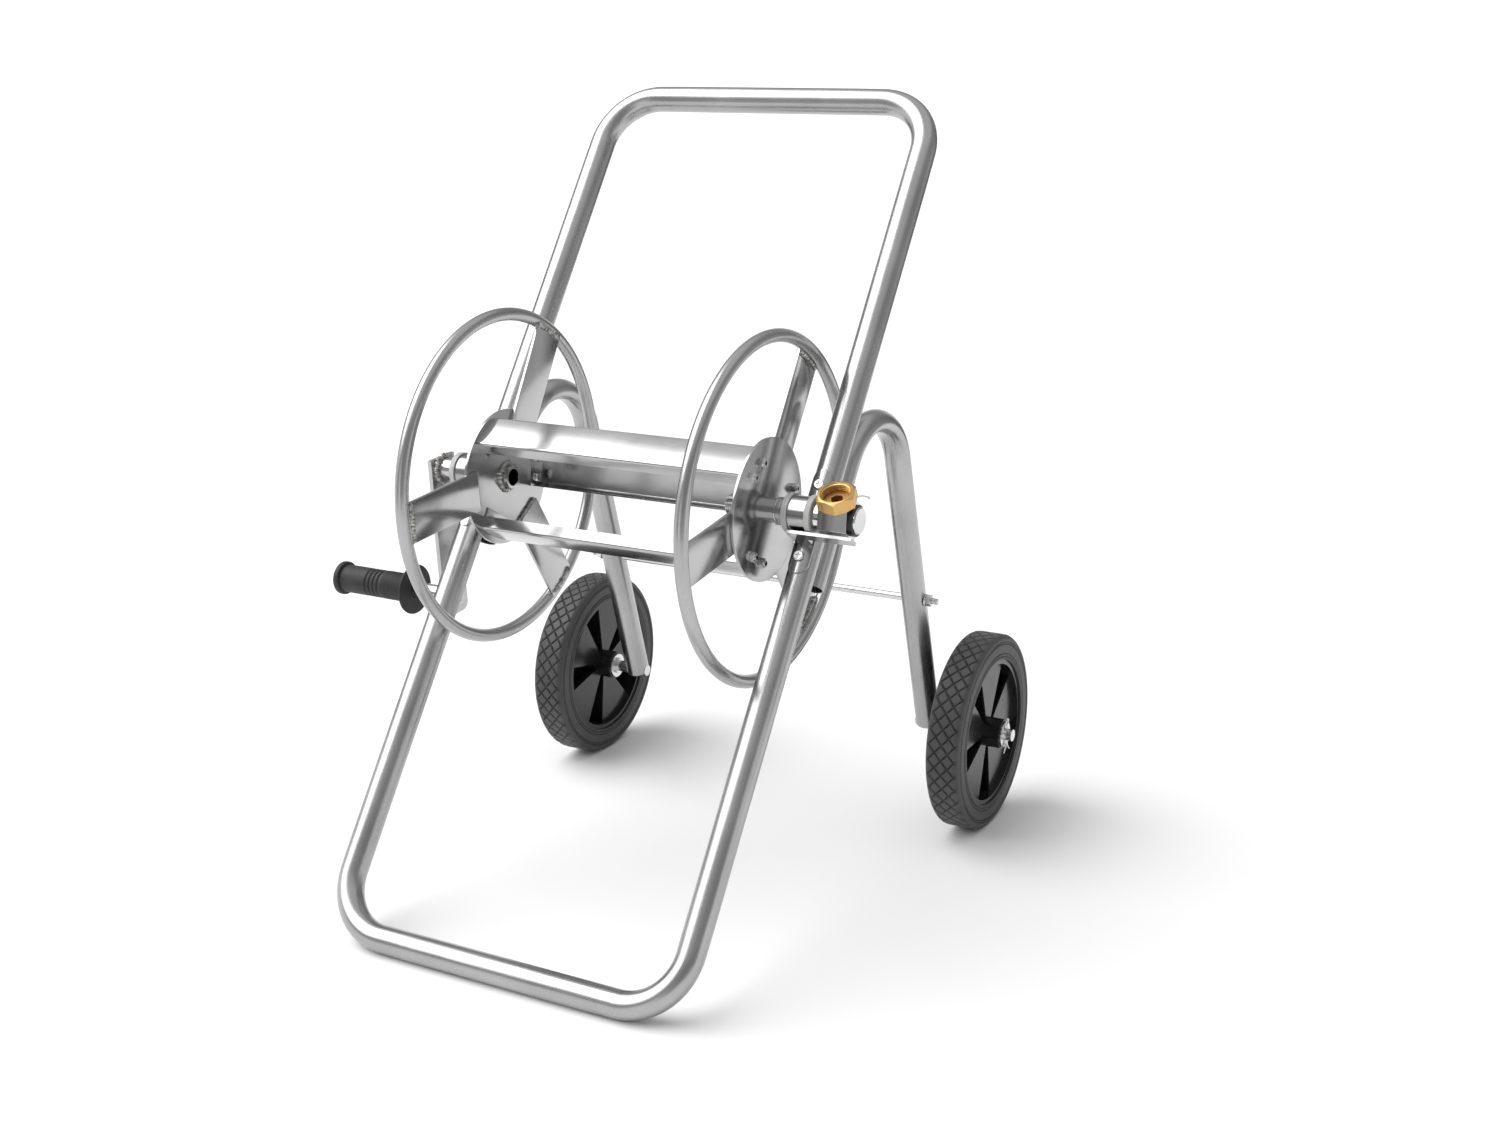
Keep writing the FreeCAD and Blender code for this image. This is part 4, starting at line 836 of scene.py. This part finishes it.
def slat_meshes(number):
    """The folded channel as one closed sheet of sections, and its two end tabs."""
    out, along_way = outward(60.0 + 120.0 * number)
    low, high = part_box("slat_" + str(number + 1))
    section = channel_outline()
    base = np.array([0, reel_y, reel_z]) + out * SLAT_R
    flat = section[:, :1] * along_way + section[:, 1:] * out
    stations = np.concatenate([[low.x], np.linspace(low.x, high.x, 24), [high.x]])
    points = np.stack([base + (x, 0, 0) + flat for x in stations])
    wall_middle = np.stack([(flat + flat[::-1]) / 2] * 2)
    points[0] = base + (low.x, 0, 0) + wall_middle[0]
    points[-1] = base + (high.x, 0, 0) + wall_middle[1]
    meshes = [merged(grid_mesh("channel", points, False, True))]
    for x in (low.x, high.x - SLAT_T):
        corner = base + (x, 0, 0) - along_way * SLAT_TAB_W / 2 - out * SLAT_TAB
        meshes.append(plate_mesh(corner, along_way * SLAT_TAB_W, out * (SLAT_TAB - SLAT_TAB_EDGE),
                                 X_WAY * SLAT_T, SLAT_TAB_EDGE))
    return meshes


for number in range(3):
    add_piece("folded_slat_" + str(number + 1), slat_meshes(number), SHEET, "reel",
              ["slat_" + str(number + 1)], 30)


# ---- Channel bolts ---------------------------------------------------------------------------
# Two zinc-plated M5 bolts hold each channel end: domed heads inside the drum, and a chamfered nut
# on the outer face of the disc with the end of the screw standing through it.
BOLT_R = 46.0 * MM
BOLT_PITCH = 19.0 * MM
BOLT_D = 5 * MM
BOLT_NUT = 4 * MM
BOLT_FLATS = 8 * MM
nuts = []
for side, name in ((-1, "left"), (1, "right")):
    face = centre(name + "_disc")[0] + side * DISC_T / 2
    for number in range(3):
        out, along_way = outward(60.0 + 120.0 * number)
        for way in (-1, 1):
            place = np.array([face, reel_y, reel_z]) + out * BOLT_R + along_way * way * BOLT_PITCH / 2
            spin = 0.4 * number + 0.7 * way
            corner = (0, math.sin(spin), math.cos(spin))
            nuts.append(nut_mesh(place, side * X_WAY, corner, BOLT_FLATS, BOLT_NUT, BOLT_D))
            nuts.append(screw_end(place + side * X_WAY * 3 * MM, side * X_WAY, 4.9 * MM, 2.5 * MM, 0.8 * MM))
add_piece("chamfered_slat_nuts", nuts, ZINC, "reel", ["slat_nuts"])
cad_finish(ZINC, "slat_bolts")


# ---- Shafts, collar and hose outlet ----------------------------------------------------------
# Half-inch steel pipe carries the drum at both ends.  The inlet side ends inside the drum in a
# pipe thread for the hose; a turned collar with two fine grooves sits beside the bearing.
SHAFT = bright_metal("drawn_pipe", (0.54, 0.54, 0.543), (0.12, 0.26), 0.0004, 380.0, 0.3 * MM)
PIPE_PITCH = 1.814 * MM
PIPE_BORE_R = 8.05 * MM
OUTLET_R = 10.48 * MM
SHAFT_SEAT_R = 10.6 * MM
low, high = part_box("outlet_nipple")
along = np.linspace(0, high.x - low.x, 100)
crest = thread_wave(along, PIPE_PITCH)
lead = np.clip(along / (1.5 * MM), 0, 1)[:, None]
radius = OUTLET_R - 1.0 * MM * (1 - crest * lead)
bore = np.full((1, TURN_STEPS), PIPE_BORE_R)
nipple = turned_mesh("nipple", np.concatenate([[0], along, [along[-1]]]), np.vstack([bore, radius, bore]),
                     np.array([low.x, reel_y, reel_z]), X_WAY, (0, 0, 1))
add_piece("threaded_outlet", [nipple], SHAFT, "reel", ["outlet_nipple"], 30)
low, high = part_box("shaft_collar")
span = high.x - low.x
along = np.linspace(0, span, 60)
groove = np.zeros(60)
for place in (0.22, 0.62):
    groove = np.maximum(groove, np.exp(-((along / span - place) / 0.035) ** 2))
radius = (high.z - low.z) / 2 - 0.9 * MM * groove
radius[[0, -1]] -= 0.4 * MM
collar = turned_mesh("collar", np.concatenate([[0], along, [span]])[:, None],
                     np.concatenate([[SHAFT_SEAT_R], radius, [SHAFT_SEAT_R]])[:, None],
                     np.array([low.x, reel_y, reel_z]), X_WAY, (0, 0, 1))
add_piece("grooved_collar", [collar], SHAFT, "reel", ["shaft_collar"], 30)
cad_finish(SHAFT, "crank_shaft", "inlet_shaft")


# ---- Crank and grip --------------------------------------------------------------------------
# A flat bar welded to the shaft carries a bolt, on which a steel sleeve and the black rubber grip
# turn together.
def grip_rubber():
    """Matt black rubber with a pebbled skin and a few pale rubbed specks."""
    material, tree, shader = new_material("grip_rubber")
    grain = noise(tree, mapped(tree, (1, 1, 1)), 1100.0, 3.0)
    rub = noise(tree, mapped(tree, (1, 1, 1)), 70.0, 5.0)
    tree.links.new(ramp(tree, rub, [(0.35, (0.012, 0.012, 0.012)), (0.75, (0.026, 0.026, 0.026))]),
                   shader.inputs["Base Color"])
    tree.links.new(ramp(tree, grain, [(0.2, 0.45), (0.8, 0.70)]), shader.inputs["Roughness"])
    bump = add_node(tree, "ShaderNodeBump", {"Height": grain, "Strength": 0.45, "Distance": 0.0003})
    tree.links.new(bump.outputs[0], shader.inputs["Normal"])
    return material


GRIP_LENGTH = 93.0 * MM
GRIP_R = 14.0 * MM
GRIP_BORE_R = 8.1 * MM
GRIP_TIP_R = 16.75 * MM
GRIP_FLANGE_R = 24.75 * MM
GRIP_GROOVES = np.array([39.0, 44.0, 49.0, 54.0]) * MM
GRIP_RIB = 0.18 * MM
GRIP_RIB_PITCH = 1.7 * MM
SEAM_TURNS = (2.2, 2.2 + math.pi)


def grip_mesh():
    """The grip's outline from the inner flange to the tip: rounded flange, slim neck, fine ribs,
    four ring grooves and a rolled tip, and a moulding line that stands up along two sides."""
    t = np.linspace(0, GRIP_LENGTH, 420)
    flange = GRIP_FLANGE_R - GRIP_R
    edge = np.clip((t - 2.0 * MM) / (2.0 * MM), -1, 1)
    radius = GRIP_R + flange * np.where(t < 4.0 * MM, np.sqrt(np.clip(1 - edge ** 4, 0, 1)), 0)
    radius = radius + 3.0 * MM * np.exp(-np.clip(t - 4.0 * MM, 0, None) / (1.6 * MM)) * (t >= 4.0 * MM)
    tip = np.clip((t - (GRIP_LENGTH - 3.4 * MM)) / (3.4 * MM), -1, 1)
    roll = GRIP_R + (GRIP_TIP_R - GRIP_R) * np.sqrt(np.clip(1 - tip ** 4, 0, 1))
    radius = np.where(t > GRIP_LENGTH - 6.8 * MM, roll, radius)
    for place in GRIP_GROOVES:
        radius = radius - 1.1 * MM * np.exp(-((t - place) / (0.8 * MM)) ** 2)
    ribbed = smooth_step(8 * MM, 12 * MM, t) * smooth_step(36 * MM, 33 * MM, t)
    radius = radius + GRIP_RIB * np.cos(TAU * t / GRIP_RIB_PITCH) * ribbed
    theta = np.linspace(0, TAU, TURN_STEPS, endpoint=False)
    seam = 0.22 * MM * sum(np.exp(-(np.angle(np.exp(1j * (theta - turn))) / 0.035) ** 2)
                           for turn in SEAM_TURNS)
    surface = radius[:, None] + seam[None] * (radius < GRIP_R + 1 * MM)[:, None]
    hollow = np.full((1, TURN_STEPS), GRIP_BORE_R)
    depth = GRIP_LENGTH - 5.0 * MM
    rows = np.concatenate([[0], t, [GRIP_LENGTH], [depth], [depth]])
    cap = np.full((1, TURN_STEPS), CAP_R)
    surface = np.vstack([hollow, surface, cap, cap, hollow])
    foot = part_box("crank_grip")[1].x
    middle = centre("crank_grip")
    return turned_mesh("grip", rows, surface, np.array([foot, middle[1], middle[2]]), -X_WAY, (0, 0, 1))


GRIP = grip_rubber()
add_piece("rubber_grip", [grip_mesh()], GRIP, "grip", ["crank_grip"], 50)
HANDLE_FLATS = 13 * MM
HANDLE_NUT = 6.5 * MM
HANDLE_D = 8 * MM
low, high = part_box("handle_nut")
handle = centre("handle_nut")
nut = nut_mesh(np.array([low.x, handle[1], handle[2]]), X_WAY, (0, 0.4, 1), HANDLE_FLATS, HANDLE_NUT,
               HANDLE_D)
end = screw_end(np.array([high.x - 1 * MM, handle[1], handle[2]]), X_WAY, 7.9 * MM, 3.6 * MM, 1.25 * MM)
add_piece("chamfered_handle_nut", [nut, end], ZINC, "reel", ["handle_nut"])
cad_finish(SHEET, "crank_arm")
cad_finish(SHAFT, "grip_sleeve", "handle_bolt")


# ---- Swivel and inlet ------------------------------------------------------------------------
# A chromed hexagonal swivel with a black seal and a round end cap feeds the shaft; a brass union
# nut for the supply hose turns freely on a brass tail.
def soft_black():
    """Dull black seal rubber, slightly patchy."""
    material, tree, shader = new_material("seal_rubber")
    cloud = noise(tree, mapped(tree, (1, 1, 1)), 200.0, 3.0)
    tree.links.new(ramp(tree, cloud, [(0.3, (0.010, 0.010, 0.010)), (0.7, (0.020, 0.020, 0.020))]),
                   shader.inputs["Base Color"])
    tree.links.new(ramp(tree, cloud, [(0.2, 0.35), (0.8, 0.5)]), shader.inputs["Roughness"])
    return material


CHROME = bright_metal("chrome", (0.68, 0.68, 0.685), (0.05, 0.12), 0.0002, 300.0, 0.5 * MM)
BRASS = bright_metal("brass", (0.68, 0.42, 0.16), (0.24, 0.40), 0.0, 700.0, 0.3 * MM)
NUT_FLATS = 32.0 * MM
NUT_HEIGHT = 12.0 * MM
NUT_BACK = 2.2 * MM
NUT_HOLE = 8.6 * MM
THREAD_MINOR = 12.06 * MM
THREAD_MAJOR = 13.1 * MM
NUT_TURN = math.radians(14.0)
nut_joint = next(joint for joint in frame["joints"] if joint["name"] == "inlet_nut_spin")
inlet_axis = np.array(nut_joint["axis"]) / np.linalg.norm(nut_joint["axis"])


def union_nut():
    """Hexagon with coned corners at the mouth, a rounded lip and a cut thread down to its back."""
    steps = 192
    edge = hexagon_radius(NUT_FLATS, steps)
    rim = NUT_FLATS / 2 * 0.985
    drop = (edge - rim) * math.tan(math.radians(38)) + 0.15 * MM
    one = np.ones(steps)
    depth = np.linspace(NUT_HEIGHT - 1.3 * MM, NUT_BACK, 70)
    crest = thread_wave(depth, PIPE_PITCH, steps)
    thread = THREAD_MAJOR - (THREAD_MAJOR - THREAD_MINOR) * crest
    along = [0 * one, 0.8 * MM * one, NUT_HEIGHT - drop, (NUT_HEIGHT - 0.25 * MM) * one, NUT_HEIGHT * one,
             NUT_HEIGHT * one, (NUT_HEIGHT - 0.9 * MM) * one]
    radius = [np.minimum(edge, rim * 1.03), edge, edge, rim * one, (rim - 0.5 * MM) * one,
              (THREAD_MAJOR + 0.7 * MM) * one, (THREAD_MAJOR + 0.1 * MM) * one]
    along += [z * one for z in depth] + [NUT_BACK * one, 0 * one]
    radius += list(thread) + [NUT_HOLE * one, NUT_HOLE * one]
    origin = np.array(nut_joint["pos_m"])
    corner = X_WAY * math.cos(NUT_TURN) + np.cross(X_WAY, inlet_axis) * math.sin(NUT_TURN)
    return turned_mesh("union_nut", along, radius, origin, inlet_axis, corner, steps)


# A thin bent wire end stands behind the union nut.
PIN_KNOTS = np.array([(252, -68, 394), (256, -59, 398.5), (262, -52.5, 400), (266, -49, 398.6),
                      (267.5, -47.6, 396.4)]) * MM
share = np.linspace(0, 1, 24)
knots = np.linspace(0, 1, len(PIN_KNOTS))
pin_path = np.stack([np.interp(share, knots, PIN_KNOTS[:, k]) for k in range(3)], 1)
pin_size = np.ones((len(share), WIRE_COLUMNS))
pin_size[[0, -1]] = 0
pin_wire = tube_rings(pin_path, np.array([0.61, -0.79, 0.0]), PIN_WIRE_R, False, WIRE_COLUMNS,
                      pin_size)
add_piece("swivel_pin_end", [merged(grid_mesh("wire", pin_wire, False, True))], ZINC, "frame")
add_piece("brass_union_nut", [union_nut()], BRASS, "inlet_nut", ["inlet_nut"], 30)
cad_finish(BRASS, "inlet_tail")
cad_finish(CHROME, "swivel_body", "swivel_cap")
cad_finish(soft_black(), "swivel_seal")
cad_finish(SHEET, "stop_bar")
